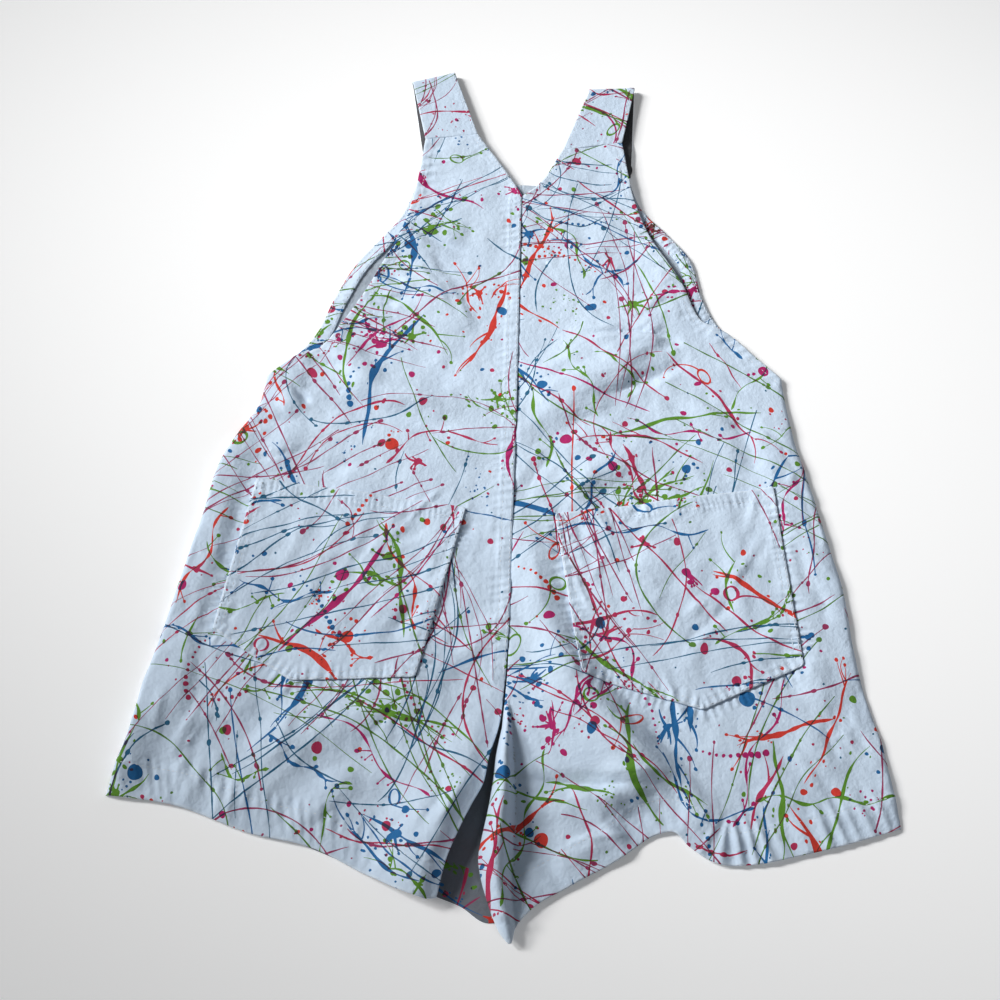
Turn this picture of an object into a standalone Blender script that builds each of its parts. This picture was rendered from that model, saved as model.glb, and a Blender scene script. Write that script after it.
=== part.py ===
"""A child's printed twill shortalls laid flat on a table, back upwards, at real size.

The table is the plane z = 0. The straps point to +Y, the legs to -Y, and left and right are as
seen from above. Everything is worked out in millimetres from the tables below and becomes
metres only when a mesh is made.
"""

import math

import bmesh
import bpy
import numpy as np

MM = 0.001

# ---------------------------------------------------------------- driving sizes, in mm
CLOTH = 1.2             # wall of the twill, as built
FACING_CLOTH = 1.0      # wall of the armhole facings
GAP = 0.3               # clearance between pieces that meet or lie on each other
ORIGIN = (1.01, 43.04)  # the centre of the whole outline, moved to x = y = 0

BACK_LOFT = 4.0         # under face of the back over the body and legs
BIB_LIFT = 3.2          # how much higher it lies over the stacked bib corners
BIB_LIFT_FROM = 170.0   # the lift starts at this y
BIB_LIFT_LENGTH = 90.0
SIDE_ROLL = 0.6         # drop of the back towards its side folds
SIDE_ROLL_WIDTH = 14.0
SIDE_FOLD_SHARE = 0.5   # share of a fold's height that it keeps at the side itself
SIDE_ROLL_TOP = 80.0    # the roll fades out above this y, towards the underarm
SIDE_ROLL_FADE = 25.0
HEM_DROP = 1.6          # drop of the back towards its hem
HEM_DROP_LENGTH = 22.0

FRONT_LIFT = 4.3        # under face of the front at the bib corners, over strap end and button
FRONT_LIFT_FROM = 225.0
FRONT_LIFT_LENGTH = 60.0

POCKET_GAP = 0.4        # pockets over the back's top face
FACING_WIDTH = 11.0
FACING_INSET = 0.4      # facing edge back from the armhole edge
FACING_SPAN = (116.0, 270.0)  # y of its two ends

STRAP_TOP = 6.8         # mid-wall height of the strap just before its fold
STRAP_FLOOR = 0.6       # mid-wall height of the strap's under run
STRAP_OVER_BUTTON = 3.4
STRAP_RISE = (332.0, 309.0)   # y where the under run starts to climb, and where it has climbed
BUTTON_RADIUS = 8.5
BUTTON_HEIGHT = 2.5
BUTTON_ROUNDING = 0.6
BUTTON_SEGMENTS = 28
BUTTON_ROUNDING_STEPS = 2

CELL = 13.5             # aimed length of a row of the panels
SHORTEST_ROW = 6.0      # rows of the tables that lie closer count as this far apart
EDGE_FADE = 60.0        # how far a shaped hem or neckline bends the rows beside it
FRONT_COLUMNS = 7
BACK_LEFT_COLUMNS = 16
BACK_RIGHT_COLUMNS = 22
BACK_LEFT_CROWDING = 1.3    # above 1, the columns lie closer together towards the centre seam
BACK_RIGHT_CROWDING = 1.7
FACING_ROWS = 12

# ---------------------------------------------------------------- finishes: colour, roughness
TWILL = (0.80, 0.84, 0.90), 0.85
FACING_TWILL = (0.70, 0.74, 0.80), 0.88
DARK_PLASTIC = (0.03, 0.03, 0.035), 0.4

# ---------------------------------------------------------------- outlines, in mm
# One row for each section across a panel, from the hem up:
# x and y of its left end, x and y of its right end.
BACK_LEFT = (
    (-258, -216, -40, -283),
    (-254, -197, -33.5, -258),
    (-249, -179, -24, -236),
    (-246, -165, -18, -224),
    (-244, -152, -11, -211),
    (-242, -138, -7, -192),
    (-238, -124, -1, -172),
    (-231, -96, 4, -135),
    (-222, -55, 6.5, -95),
    (-213, -15, 9, -24),
    (-203, 32, 11.5, 45),
    (-192, 55, 12.3, 72),
    (-179, 78, 13, 95),
    (-174, 100, 13.5, 113),
    (-155, 117, 14, 132),
    (-136, 126, 14.5, 150),
    (-119, 150, 15, 172),
    (-94, 197, 16, 210),
    (-74, 243, 17, 250),
    (-69, 264, 17.5, 264),
    (-66, 280, 10, 280),
    (-60.5, 322, -18, 327),
)
BACK_RIGHT = (
    (-5, -294, 260, -238),
    (-12.5, -269, 258, -212),
    (-14, -257, 256, -196),
    (-12.3, -247, 255, -188),
    (-10, -236, 254, -180),
    (-7, -222, 252, -172),
    (-5, -207, 249, -160),
    (-2.8, -189, 247, -151),
    (1.2, -171, 245, -140),
    (4.8, -135, 242, -112),
    (6.5, -95, 240, -76),
    (9, -24, 231, -28),
    (10.5, 15, 223, 14),
    (11.5, 45, 216, 46),
    (13, 95, 212, 80),
    (13.5, 113, 210, 98),
    (14, 132, 194, 115),
    (14.5, 150, 168, 141),
    (15, 165, 156, 147),
    (15.5, 185, 140, 182),
    (16.3, 222, 119, 222),
    (17, 252, 108, 254),
    (17.5, 264, 105, 268),
    (28, 273, 103.5, 280),
    (51, 311, 99, 318),
)
FRONT_LEFT = (
    (-256, -212, 3, -296),
    (-246, -172, 2, -235),
    (-237, -129, 1.5, -166),
    (-219, -55, 6.5, -95),
    (-211, -16, 9, -24),
    (-200, 35, 11.5, 45),
    (-176, 76, 13, 90),
    (-171, 101, 13.5, 112),
    (-155, 119, 14, 130),
    (-141, 138, 14.6, 152),
    (-128, 171, 15.3, 180),
    (-112, 204, 16, 205),
    (-94, 228, 16.6, 228),
    (-79, 248, 17.1, 248),
    (-67, 278, 17.5, 262),
    (-61, 310, 18, 278),
)
FRONT_RIGHT = (
    (3, -289, 257, -235),
    (2, -235, 250, -175),
    (1.5, -166, 242, -140),
    (6.5, -95, 236, -74),
    (9, -24, 228, -24),
    (11.5, 45, 213, 46),
    (13, 90, 210, 80),
    (13.5, 112, 208, 100),
    (14, 130, 192, 116),
    (14.6, 152, 166, 147),
    (15.3, 180, 156, 171),
    (16, 205, 149, 206),
    (16.6, 228, 134, 229),
    (17.1, 248, 112, 256),
    (17.5, 262, 104, 281),
    (18, 278, 101, 310),
)

# x and y along each shaped edge. An edge without a table is the straight end of its panel.
HEM_BACK_LEFT = (
    (-258, -216), (-215, -222), (-161, -241), (-122, -250),
    (-83, -269), (-57, -281), (-46, -284), (-40, -283),
)
HEM_BACK_RIGHT = (
    (-5, -294), (6, -311), (10, -300), (20, -289), (44, -275), (76, -258), (104, -241),
    (111, -240), (122, -250), (138, -260), (165, -261), (190, -256), (217, -250), (260, -238),
)
HEM_FRONT_LEFT = ((-256, -212), (-162, -235), (-77, -268), (-40, -281), (-25, -287), (-9, -297), (3, -296))
HEM_FRONT_RIGHT = (
    (3, -289), (22, -283), (44, -270), (76, -253),
    (108, -234), (146, -249), (200, -248), (257, -235),
)
NECK_FRONT_LEFT = ((-61, 310), (-25, 310), (-12, 287), (4, 278), (18, 278))
NECK_FRONT_RIGHT = ((18, 278), (34, 278), (52, 287), (66, 310), (101, 310))

# Corners of a patch pocket: top at the outer side, top at the seam side, bottom at the seam
# side, lowest outer corner, and where the cut-off corner meets the outer side.
POCKET_LEFT = ((-175, 15), (-24, -9), (-57, -138), (-141, -139), (-197, -102))
POCKET_RIGHT = ((196, 7), (39, -14), (55, -135), (136, -159), (206, -128))
POCKET_ROWS = 8
POCKET_STEPS = (3, 5)   # columns over the cut-off corner and over the level bottom

# Ends of the strap's seam, fold and under end: x and y at the left, x and y at the right.
STRAP_LEFT = {"seam": (-60.5, 322, -18, 327), "fold": (-72, 381, -37, 391), "end": (-59, 286, -24, 286)}
STRAP_RIGHT = {"seam": (51, 311, 99, 318), "fold": (74, 373, 111.5, 374.5), "end": (66, 286, 105, 286)}
STRAP_COLUMNS = 4
STRAP_RUN_ROWS = 5
STRAP_FOLD_ROWS = 6
BUTTON_LEFT = (-42, 297)
BUTTON_RIGHT = (98.5, 296)

# The folded inseam of the right leg, which stands up as a roll: y, left x, right x, height.
ROLL_FULLNESS = 0.8         # power of its sine profile: under 1, its sides stand steeper
ROLL = (
    (-318, 5, 9, 1),
    (-309, 1, 10, 4),
    (-294, -5, 9, 10),
    (-281, -9, 8, 13),
    (-269, -12.5, 8, 16),
    (-257, -14, 9, 18),
    (-236, -10, 10, 19),
    (-207, -5, 10, 17),
    (-189, -2.8, 9, 13),
    (-171, 1.2, 8, 7),
    (-150, 4, 6, 0),
)
# The lifted inner edge of the left leg: y, x of the edge, height.
INNER_LIFT = (
    (-290, -43, 9),
    (-283, -40, 11),
    (-258, -33.5, 14),
    (-236, -24, 14.5),
    (-224, -18, 14),
    (-211, -11, 12.5),
    (-192, -7, 9.5),
    (-172, -1, 5),
    (-158, 0.5, 2),
    (-144, 1.5, 0),
)
INNER_LIFT_EDGE = 0.62      # share of the height left at the edge itself
INNER_LIFT_CREST = 13.0     # distance of the crest from the edge
INNER_LIFT_WIDTH = 60.0

# The back lies flat under each pocket: centre x and y, half width, half height, lean in degrees.
FLAT_LEFT = (-109, -61, 88, 80, -9)
FLAT_RIGHT = (124, -65, 86, 84, 7)
FLAT_FADE = 24.0

# Large soft folds of the back: x and y of both ends, how far it reaches on its right side and on
# its left side, seen from its first end to its last, and its height (below 0, a trough).
FOLDS = (
    # bib and middle
    (15, 190, 14, 110, 70, 70, -3.2),
    (-62, 205, -28, 148, 40, 18, 3.8),
    (88, 135, 34, 78, 54, 34, 4.6),
    (118, 212, 138, 162, 24, 24, 2.6),
    (-110, 103, -40, 75, 20, 20, 3.4),
    (-111, 125, -95, 97, 22, 22, 2.4),
    (-156, 104, -157, 74, 22, 14, 2.4),
    (60, 10, 102, 32, 18, 18, 2.2),
    (24, -35, 48, -135, 22, 20, 3.8),
    # outer sides
    (-188, 50, -213, -100, 50, 20, 3.6),
    (-209, -75, -218, -170, 50, 20, 2.4),
    (-190, 20, -205, -160, 40, 44, 1.8),
    (-241, -160, -251, -200, 20, 20, 4.4),
    (182, 70, 212, -60, 14, 46, 2.4),
    (210, -60, 221, -135, 14, 50, 1.8),
    # legs
    (46, -130, 118, -216, 60, 24, 9.4),
    (108, -160, 165, -216, 34, 34, -3.0),
    (84, -238, 116, -216, 22, 22, -5.5),
    (-150, -192, -65, -152, 28, 28, 2.4),
    (-135, -212, -70, -178, 24, 24, -2.4),
)


# ---------------------------------------------------------------- shapes as functions, in mm
def smooth(value):
    """0 below 0, 1 above 1, and an even S between."""
    held = np.clip(value, 0.0, 1.0)
    return held * held * (3.0 - 2.0 * held)


def rounded_through(knots, values, at):
    """A curve through values at rising knots, read at the places at (Catmull-Rom)."""
    knots = np.asarray(knots, float)
    values = np.asarray(values, float)
    slopes = np.gradient(values, knots, axis=0)
    place = np.clip(np.searchsorted(knots, at, side="right") - 1, 0, len(knots) - 2)
    width = knots[place + 1] - knots[place]
    share = (at - knots[place]) / width
    if values.ndim > 1:
        width = width[:, None]
        share = share[:, None]
    start = values[place] * (1 + 2 * share) * (1 - share) ** 2
    start = start + slopes[place] * width * share * (1 - share) ** 2
    finish = values[place + 1] * (3 - 2 * share) * share**2
    return start - slopes[place + 1] * width * (1 - share) * share**2 + finish


def edge_height(table, x):
    """y of a shaped edge at x."""
    points = np.array(table, float)
    return np.interp(x, points[:, 0], points[:, 1])


def segment_reach(x, y, fold):
    """Share of the way along a fold, the distance from its line, and its length."""
    x1, y1, x2, y2 = fold[:4]
    length = math.hypot(x2 - x1, y2 - y1)
    ux, uy = (x2 - x1) / length, (y2 - y1) / length
    along = (x - x1) * ux + (y - y1) * uy
    across = (x - x1) * uy - (y - y1) * ux
    return along / length, across, length


def fold_height(x, y, fold):
    """A soft ridge or trough that dies away at its ends and its sides."""
    share, across, length = segment_reach(x, y, fold)
    right_reach, left_reach, height = fold[4:]
    reach = np.where(across > 0, right_reach, left_reach)
    beyond = np.clip(np.maximum(-share, share - 1), 0, None) * length / min(right_reach, left_reach)
    return height * (1 - smooth(np.hypot(across / reach, beyond)))


def roll_height(x, y):
    """The standing roll at the right leg's inseam."""
    table = np.array(ROLL, float)
    left = np.interp(y, table[:, 0], table[:, 1])
    right = np.interp(y, table[:, 0], table[:, 2])
    height = np.interp(y, table[:, 0], table[:, 3], left=0, right=0)
    share = np.clip((x - left) / (right - left), 0, 1)
    return height * np.sin(math.pi * share) ** ROLL_FULLNESS


def inner_lift(x, y):
    """The lifted inner edge of the left leg, highest a little way in from the edge."""
    table = np.array(INNER_LIFT, float)
    edge = np.interp(y, table[:, 0], table[:, 1])
    height = np.interp(y, table[:, 0], table[:, 2], right=0)
    inward = edge - x
    rise = INNER_LIFT_EDGE + (1 - INNER_LIFT_EDGE) * smooth(inward / INNER_LIFT_CREST)
    fall = 1 - smooth((inward - INNER_LIFT_CREST) / (INNER_LIFT_WIDTH - INNER_LIFT_CREST))
    return height * rise * fall


def side_roll(x, y, side_x):
    """Drop towards the fold at the garment's side."""
    near = 1 - smooth(np.abs(x - side_x) / SIDE_ROLL_WIDTH)
    return -SIDE_ROLL * near * (1 - smooth((y - SIDE_ROLL_TOP) / SIDE_ROLL_FADE))


def off_pocket(x, y, flat):
    """0 over the flat ground of a pocket, rising to 1 around it."""
    centre_x, centre_y, half_width, half_height, lean = flat
    turn = math.radians(lean)
    along = (x - centre_x) * math.cos(turn) + (y - centre_y) * math.sin(turn)
    up = (y - centre_y) * math.cos(turn) - (x - centre_x) * math.sin(turn)
    outside = np.hypot(np.maximum(abs(along) - half_width, 0), np.maximum(abs(up) - half_height, 0))
    return smooth(outside / FLAT_FADE)


def back_height(x, y, is_left):
    """Height of the back's under face."""
    if is_left:
        rows = np.array(BACK_LEFT, float)
        hem = edge_height(HEM_BACK_LEFT, x)
        side_x = np.interp(y, rows[:, 1], rows[:, 0])
        own = inner_lift(x, y)
        flat = FLAT_LEFT
    else:
        rows = np.array(BACK_RIGHT, float)
        hem = edge_height(HEM_BACK_RIGHT, x)
        side_x = np.interp(y, rows[:, 3], rows[:, 2])
        own = roll_height(x, y)
        flat = FLAT_RIGHT
    height = BACK_LOFT + BIB_LIFT * smooth((y - BIB_LIFT_FROM) / BIB_LIFT_LENGTH)
    height = height + side_roll(x, y, side_x) + own
    height = height - HEM_DROP * (1 - smooth((y - hem) / HEM_DROP_LENGTH))
    near_side = SIDE_FOLD_SHARE + (1 - SIDE_FOLD_SHARE) * smooth(np.abs(x - side_x) / SIDE_ROLL_WIDTH)
    free = near_side * off_pocket(x, y, flat)
    for fold in FOLDS:
        height = height + fold_height(x, y, fold) * free
    return np.maximum(height, CLOTH + GAP)


def front_height(x, y):
    """Height of the front's under face: on the table, and up over the bib corners' stack."""
    return FRONT_LIFT * smooth((y - FRONT_LIFT_FROM) / FRONT_LIFT_LENGTH) + 0 * x


# ---------------------------------------------------------------- grids of places, in mm
def spread(count, crowding):
    """count + 1 places from 0 to 1, closer together towards 0 (above 1) or evenly (1)."""
    return np.linspace(0, 1, count + 1) ** crowding


def panel_places(rows, hem, neck, columns, seam_on_right, crowding=1.0):
    """Plan places of a panel, rows from the hem up and columns from left to right."""
    table = np.array(rows, float)
    middles = (table[:, :2] + table[:, 2:]) / 2
    steps = np.maximum(np.hypot(*np.diff(middles, axis=0).T), SHORTEST_ROW)
    knots = np.concatenate([[0], np.cumsum(steps)])
    levels = np.unique(np.concatenate([
        np.linspace(a, b, max(1, round((b - a) / CELL)) + 1) for a, b in zip(knots[:-1], knots[1:])
    ]))
    ends = rounded_through(knots, table, levels)
    if seam_on_right:
        ends[:, 2] -= GAP / 2
        shares = 1 - spread(columns, crowding)[::-1]
    else:
        ends[:, 0] += GAP / 2
        shares = spread(columns, crowding)
    x = ends[:, None, 0] + (ends[:, None, 2] - ends[:, None, 0]) * shares[None, :]
    y = ends[:, None, 1] + (ends[:, None, 3] - ends[:, None, 1]) * shares[None, :]
    fade = 1 - smooth((levels - levels[0]) / EDGE_FADE)
    y = y + (edge_height(hem, x[0]) - y[0])[None, :] * fade[:, None]
    if neck is not None:
        fade = 1 - smooth((levels[-1] - levels) / EDGE_FADE)
        y = y + (edge_height(neck, x[-1]) - y[-1])[None, :] * fade[:, None]
    return x, y


def stacked(x, y, z):
    return np.stack([x, y, z], axis=-1)


def pocket_places(corners, is_left):
    """Places of a patch pocket on the back's top face, its bottom row round the cut corner."""
    top_out, top_in, low_in, low_out, side_out = (np.array(c, float) for c in corners)
    corner_steps, level_steps = POCKET_STEPS
    bottom = [side_out + (low_out - side_out) * s for s in np.linspace(0, 1, corner_steps + 1)]
    bottom += [low_out + (low_in - low_out) * s for s in np.linspace(0, 1, level_steps + 1)[1:]]
    bottom = np.array(bottom)
    reach = np.hypot(*np.diff(bottom, axis=0).T)
    shares = np.concatenate([[0], np.cumsum(reach)]) / reach.sum()
    top = top_out + (top_in - top_out) * shares[:, None]
    down = np.linspace(1, 0, POCKET_ROWS + 1)[:, None, None]
    plan = top[None] * (1 - down) + bottom[None] * down
    if not is_left:
        plan = plan[:, ::-1]
    x, y = plan[..., 0], plan[..., 1]
    return stacked(x, y, back_height(x, y, is_left) + CLOTH + POCKET_GAP)


def facing_places(rows, armhole_on_left):
    """Places of an armhole facing: a strip of even width on the front's upper face."""
    table = np.array(rows, float)
    column = 0 if armhole_on_left else 2
    edge = table[:, column:column + 2]
    low, high = FACING_SPAN
    y = np.linspace(low, high, FACING_ROWS + 1)
    around = edge[edge[:, 1] > low - FACING_WIDTH]
    x = rounded_through(around[:, 1], around[:, 0], y)
    along = np.gradient(np.stack([x, y], axis=1), axis=0)
    along = along / np.hypot(along[:, 0], along[:, 1])[:, None]
    inward = np.stack([along[:, 1], -along[:, 0]], axis=1) * (1 if armhole_on_left else -1)
    near = np.stack([x, y], axis=1) + inward * FACING_INSET
    far = near + inward * FACING_WIDTH
    left, right = (near, far) if armhole_on_left else (far, near)
    plan = np.stack([left, (left + right) / 2, right], axis=1)
    x, y = plan[..., 0], plan[..., 1]
    return stacked(x, y, front_height(x, y) + CLOTH + GAP)


def strap_places(strap):
    """Mid-wall places of a strap: up the back, round its fold and down to the bib corner."""
    seam, fold, end = (np.array(strap[key], float) for key in ("seam", "fold", "end"))
    seam_z = BACK_LOFT + BIB_LIFT + CLOTH / 2
    fold_radius = (STRAP_TOP - STRAP_FLOOR) / 2
    across = (fold[2:] - fold[:2]) / math.hypot(*(fold[2:] - fold[:2]))
    out = np.array([-across[1], across[0]])
    shares = np.linspace(0, 1, STRAP_COLUMNS + 1)[:, None]
    gap = np.array([-across[1], across[0]]) * GAP
    rows = []
    for along in np.linspace(0, 1, STRAP_RUN_ROWS + 1)[:-1]:
        ends = seam + (fold - seam) * along
        line = ends[:2] + gap + (ends[2:] - ends[:2]) * shares
        height = seam_z + (STRAP_TOP - seam_z) * smooth(along)
        rows.append(np.column_stack([line, np.full(len(line), height)]))
    for turn in np.linspace(0, math.pi, STRAP_FOLD_ROWS + 1):
        line = fold[:2] + (fold[2:] - fold[:2]) * shares + out * fold_radius * math.sin(turn)
        height = STRAP_FLOOR + fold_radius * (1 + math.cos(turn))
        rows.append(np.column_stack([line, np.full(len(line), height)]))
    for along in np.linspace(0, 1, 2 * STRAP_RUN_ROWS + 1)[1:]:
        ends = fold + (end - fold) * along
        line = ends[:2] + (ends[2:] - ends[:2]) * shares
        start, risen = STRAP_RISE
        climb = smooth((start - line[:, 1]) / (start - risen))
        rows.append(np.column_stack([line, STRAP_FLOOR + (STRAP_OVER_BUTTON - STRAP_FLOOR) * climb]))
    return np.array(rows)


# ---------------------------------------------------------------- Blender objects
def material(name, colour, roughness):
    made = bpy.data.materials.new(name)
    made.use_nodes = True
    shader = made.node_tree.nodes["Principled BSDF"]
    shader.inputs["Base Color"].default_value = (*colour, 1)
    shader.inputs["Roughness"].default_value = roughness
    made.diffuse_color = (*colour, 1)
    return made


def add_object(name, mesh, collection, surface):
    made = bpy.data.objects.new(name, mesh)
    made.data.materials.append(surface)
    collection.objects.link(made)
    return made


def cloth_piece(name, places, wall, offset, collection, surface):
    """A sheet through a grid of places, made solid by its wall thickness."""
    rows, columns = len(places) - 1, len(places[0]) - 1
    bm = bmesh.new()
    bmesh.ops.create_grid(bm, x_segments=columns, y_segments=rows, size=1)
    for vert in bm.verts:
        column = round((vert.co.x + 1) / 2 * columns)
        row = round((vert.co.y + 1) / 2 * rows)
        x, y, z = places[row][column]
        vert.co = ((x - ORIGIN[0]) * MM, (y - ORIGIN[1]) * MM, z * MM)
    bmesh.ops.recalc_face_normals(bm, faces=bm.faces)
    highest = max(bm.faces, key=lambda face: face.calc_center_median().z)
    if highest.normal.z < 0:
        bmesh.ops.reverse_faces(bm, faces=bm.faces)
    mesh = bpy.data.meshes.new(name)
    bm.to_mesh(mesh)
    bm.free()
    made = add_object(name, mesh, collection, surface)
    wall_maker = made.modifiers.new("wall", "SOLIDIFY")
    wall_maker.thickness = wall * MM
    wall_maker.offset = offset
    return made


def button(name, place, collection, surface):
    """A flat round button under the strap's end."""
    bm = bmesh.new()
    bmesh.ops.create_cone(
        bm,
        cap_ends=True,
        segments=BUTTON_SEGMENTS,
        radius1=BUTTON_RADIUS * MM,
        radius2=BUTTON_RADIUS * MM,
        depth=BUTTON_HEIGHT * MM,
    )
    mesh = bpy.data.meshes.new(name)
    bm.to_mesh(mesh)
    bm.free()
    made = add_object(name, mesh, collection, surface)
    made.location = (
        (place[0] - ORIGIN[0]) * MM,
        (place[1] - ORIGIN[1]) * MM,
        BUTTON_HEIGHT / 2 * MM,
    )
    edge = made.modifiers.new("rounded edge", "BEVEL")
    edge.width = BUTTON_ROUNDING * MM
    edge.segments = BUTTON_ROUNDING_STEPS
    return made


def main():
    for old in list(bpy.data.objects):
        bpy.data.objects.remove(old)
    collection = bpy.data.collections.new("shortalls")
    bpy.context.scene.collection.children.link(collection)
    twill = material("printed twill", *TWILL)
    facing = material("facing twill", *FACING_TWILL)
    plastic = material("dark button", *DARK_PLASTIC)

    x, y = panel_places(FRONT_LEFT, HEM_FRONT_LEFT, NECK_FRONT_LEFT, FRONT_COLUMNS, True)
    cloth_piece("front_left", stacked(x, y, front_height(x, y)), CLOTH, 1, collection, twill)
    x, y = panel_places(FRONT_RIGHT, HEM_FRONT_RIGHT, NECK_FRONT_RIGHT, FRONT_COLUMNS, False)
    cloth_piece("front_right", stacked(x, y, front_height(x, y)), CLOTH, 1, collection, twill)
    x, y = panel_places(
        BACK_LEFT, HEM_BACK_LEFT, None, BACK_LEFT_COLUMNS, True, BACK_LEFT_CROWDING
    )
    cloth_piece("back_left", stacked(x, y, back_height(x, y, True)), CLOTH, 1, collection, twill)
    x, y = panel_places(
        BACK_RIGHT, HEM_BACK_RIGHT, None, BACK_RIGHT_COLUMNS, False, BACK_RIGHT_CROWDING
    )
    cloth_piece("back_right", stacked(x, y, back_height(x, y, False)), CLOTH, 1, collection, twill)

    for name, rows, on_left in (("left", FRONT_LEFT, True), ("right", FRONT_RIGHT, False)):
        places = facing_places(rows, on_left)
        cloth_piece("facing_" + name, places, FACING_CLOTH, 1, collection, facing)
    for name, corners, is_left in (("left", POCKET_LEFT, True), ("right", POCKET_RIGHT, False)):
        places = pocket_places(corners, is_left)
        cloth_piece("pocket_" + name, places, CLOTH, 1, collection, twill)
    for name, strap in (("left", STRAP_LEFT), ("right", STRAP_RIGHT)):
        cloth_piece("strap_" + name, strap_places(strap), CLOTH, 0, collection, twill)
    button("button_left", BUTTON_LEFT, collection, plastic)
    button("button_right", BUTTON_RIGHT, collection, plastic)


main()
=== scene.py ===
"""The looks of a child's shortalls in paint-spatter print twill, laid flat with the back upwards.

Everything is worked out in millimetres on the table: x to the right, y up the garment, z above
the table, as seen from above. to_world turns that into metres of the CAD frame. Each piece of
cloth is a thin closed shell. Its upper face is triangulated together with the outlines of the
print, so that the print stays crisp, and its creases, puckers and hems are heights added to the
form that the CAD panels have.
"""

import math
import random

import bpy
import numpy as np
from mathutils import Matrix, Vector
from mathutils.geometry import delaunay_2d_cdt


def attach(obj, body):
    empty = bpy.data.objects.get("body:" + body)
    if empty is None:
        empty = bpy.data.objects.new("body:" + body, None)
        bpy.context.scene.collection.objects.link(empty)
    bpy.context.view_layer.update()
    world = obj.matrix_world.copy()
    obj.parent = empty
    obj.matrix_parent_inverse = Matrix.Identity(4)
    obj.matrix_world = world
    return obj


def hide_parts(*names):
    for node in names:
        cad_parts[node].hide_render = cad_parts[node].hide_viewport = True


MM = 0.001
BODY = "root"

# ---------------------------------------------------------------- the garment's sizes, in mm
ORIGIN = (1.01, 43.04)      # the centre of the whole outline, which is x = y = 0 of the frame
TABLE_GAP = 0.03            # the lowest that a strap or a stitch lies above the table
UNDERSIDE = 0.05            # the lowest that the back's under face lies
WALL = 0.8                  # twill
BACK_LOFT = 5.2             # upper face of the back over the body and legs
BIB_LIFT = 3.2              # how much higher it lies over the stacked bib corners
BIB_LIFT_FROM = 170.0
BIB_LIFT_LENGTH = 90.0
SIDE_ROLL = {"left": 0.25, "right": 0.75}      # drop towards the side folds
SIDE_ROLL_WIDTH = 9.0
SIDE_ROLL_TOP = 80.0
SIDE_ROLL_FADE = 25.0
SIDE_FOLD_RADIUS = 4.0      # the last round of the side fold, down to the table
SIDE_FOLD_FOOT = 0.9
HEM_DROP = 1.6
HEM_DROP_LENGTH = 22.0
LOWEST_BACK = 2.2           # upper face of the back where a trough is deepest
LOWEST_OVER_FACING = 3.3
LOWEST_CLIMB = 15.0         # over which y it climbs from the one to the other
LOWEST_SOFTNESS = 0.5
SIDE_CALM = 0.6             # how far the creases have risen at the side folds already
RELIEF_WALL = 0.35          # wall left where relief is cut deep into the back
THINNEST_WALL = 0.3
FACING_FOOT = 95.0          # y where the facings start

FRONT_LIFT = 4.3
FRONT_LIFT_FROM = 225.0
FRONT_LIFT_LENGTH = 60.0
FACING_WIDTH = 11.0
FACING_INSET = 0.4
FACING_SPAN = (116.0, 270.0)
FACING_BASE = 1.0           # under face of a facing over the front's under face
FACING_WALL = 0.8
# A swell of the front beside its armhole: height, distance from the edge and half width.
ARMHOLE_CURL = {"left": (2.8, 9.5, 6.5), "right": (3.0, 6.0, 6.0)}
ARMHOLE_CURL_SPAN = (130.0, 262.0)
ARMHOLE_ROWS = 6            # the first row of a front that belongs to its armhole
POCKET_BASE = 0.25          # under face of a pocket over the back's upper face
POCKET_WALL = 1.1
POCKET_CORNER = 3.0         # rounding of the pockets' corners
POCKET_EDGE_FADE = 1.6      # over which the back's own relief ends beside a pocket

STRAP_TOP = 6.8
STRAP_FLOOR = 0.6
STRAP_OVER_BUTTON = 3.4
STRAP_RISE = (332.0, 309.0)
STRAP_WALL = 1.2

# One row for each section across a panel, from the hem up:
# x and y of its left end, x and y of its right end.
BACK_LEFT = (
    (-258, -216, -40, -283), (-254, -197, -33.5, -258), (-249, -179, -24, -236),
    (-246, -165, -18, -224), (-244, -152, -11, -211), (-242, -138, -7, -192),
    (-238, -124, -1, -172), (-231, -96, 4, -135), (-222, -55, 6.5, -95), (-213, -15, 9, -24),
    (-203, 32, 11.5, 45), (-192, 55, 12.3, 72), (-179, 78, 13, 95), (-174, 100, 13.5, 113),
    (-155, 117, 14, 132), (-136, 126, 14.5, 150), (-119, 150, 15, 172), (-94, 197, 16, 210),
    (-74, 243, 17, 250), (-69, 264, 17.5, 264), (-66, 280, 10, 280), (-60.5, 322, -18, 327),
)
BACK_RIGHT = (
    (-5, -294, 260, -238), (-12.5, -269, 258, -212), (-14, -257, 256, -196),
    (-12.3, -247, 255, -188), (-10, -236, 254, -180), (-7, -222, 252, -172),
    (-5, -207, 249, -160), (-2.8, -189, 247, -151), (1.2, -171, 245, -140),
    (4.8, -135, 242, -112), (6.5, -95, 240, -76), (9, -24, 231, -28), (10.5, 15, 223, 14),
    (11.5, 45, 216, 46), (13, 95, 212, 80), (13.5, 113, 210, 98), (14, 132, 194, 115),
    (14.5, 150, 168, 141), (15, 165, 156, 147), (15.5, 185, 140, 182), (16.3, 222, 119, 222),
    (17, 252, 108, 254), (17.5, 264, 105, 268), (28, 273, 103.5, 280), (51, 311, 99, 318),
)
FRONT_LEFT = (
    (-256, -212, 3, -296), (-246, -172, 2, -235), (-237, -129, 1.5, -166),
    (-219, -55, 6.5, -95), (-211, -16, 9, -24), (-200, 35, 11.5, 45), (-176, 76, 13, 90),
    (-171, 101, 13.5, 112), (-155, 119, 14, 130), (-141, 138, 14.6, 152),
    (-128, 171, 15.3, 180), (-112, 204, 16, 205), (-94, 228, 16.6, 228),
    (-79, 248, 17.1, 248), (-67, 278, 17.5, 262), (-61, 310, 18, 278),
)
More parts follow.
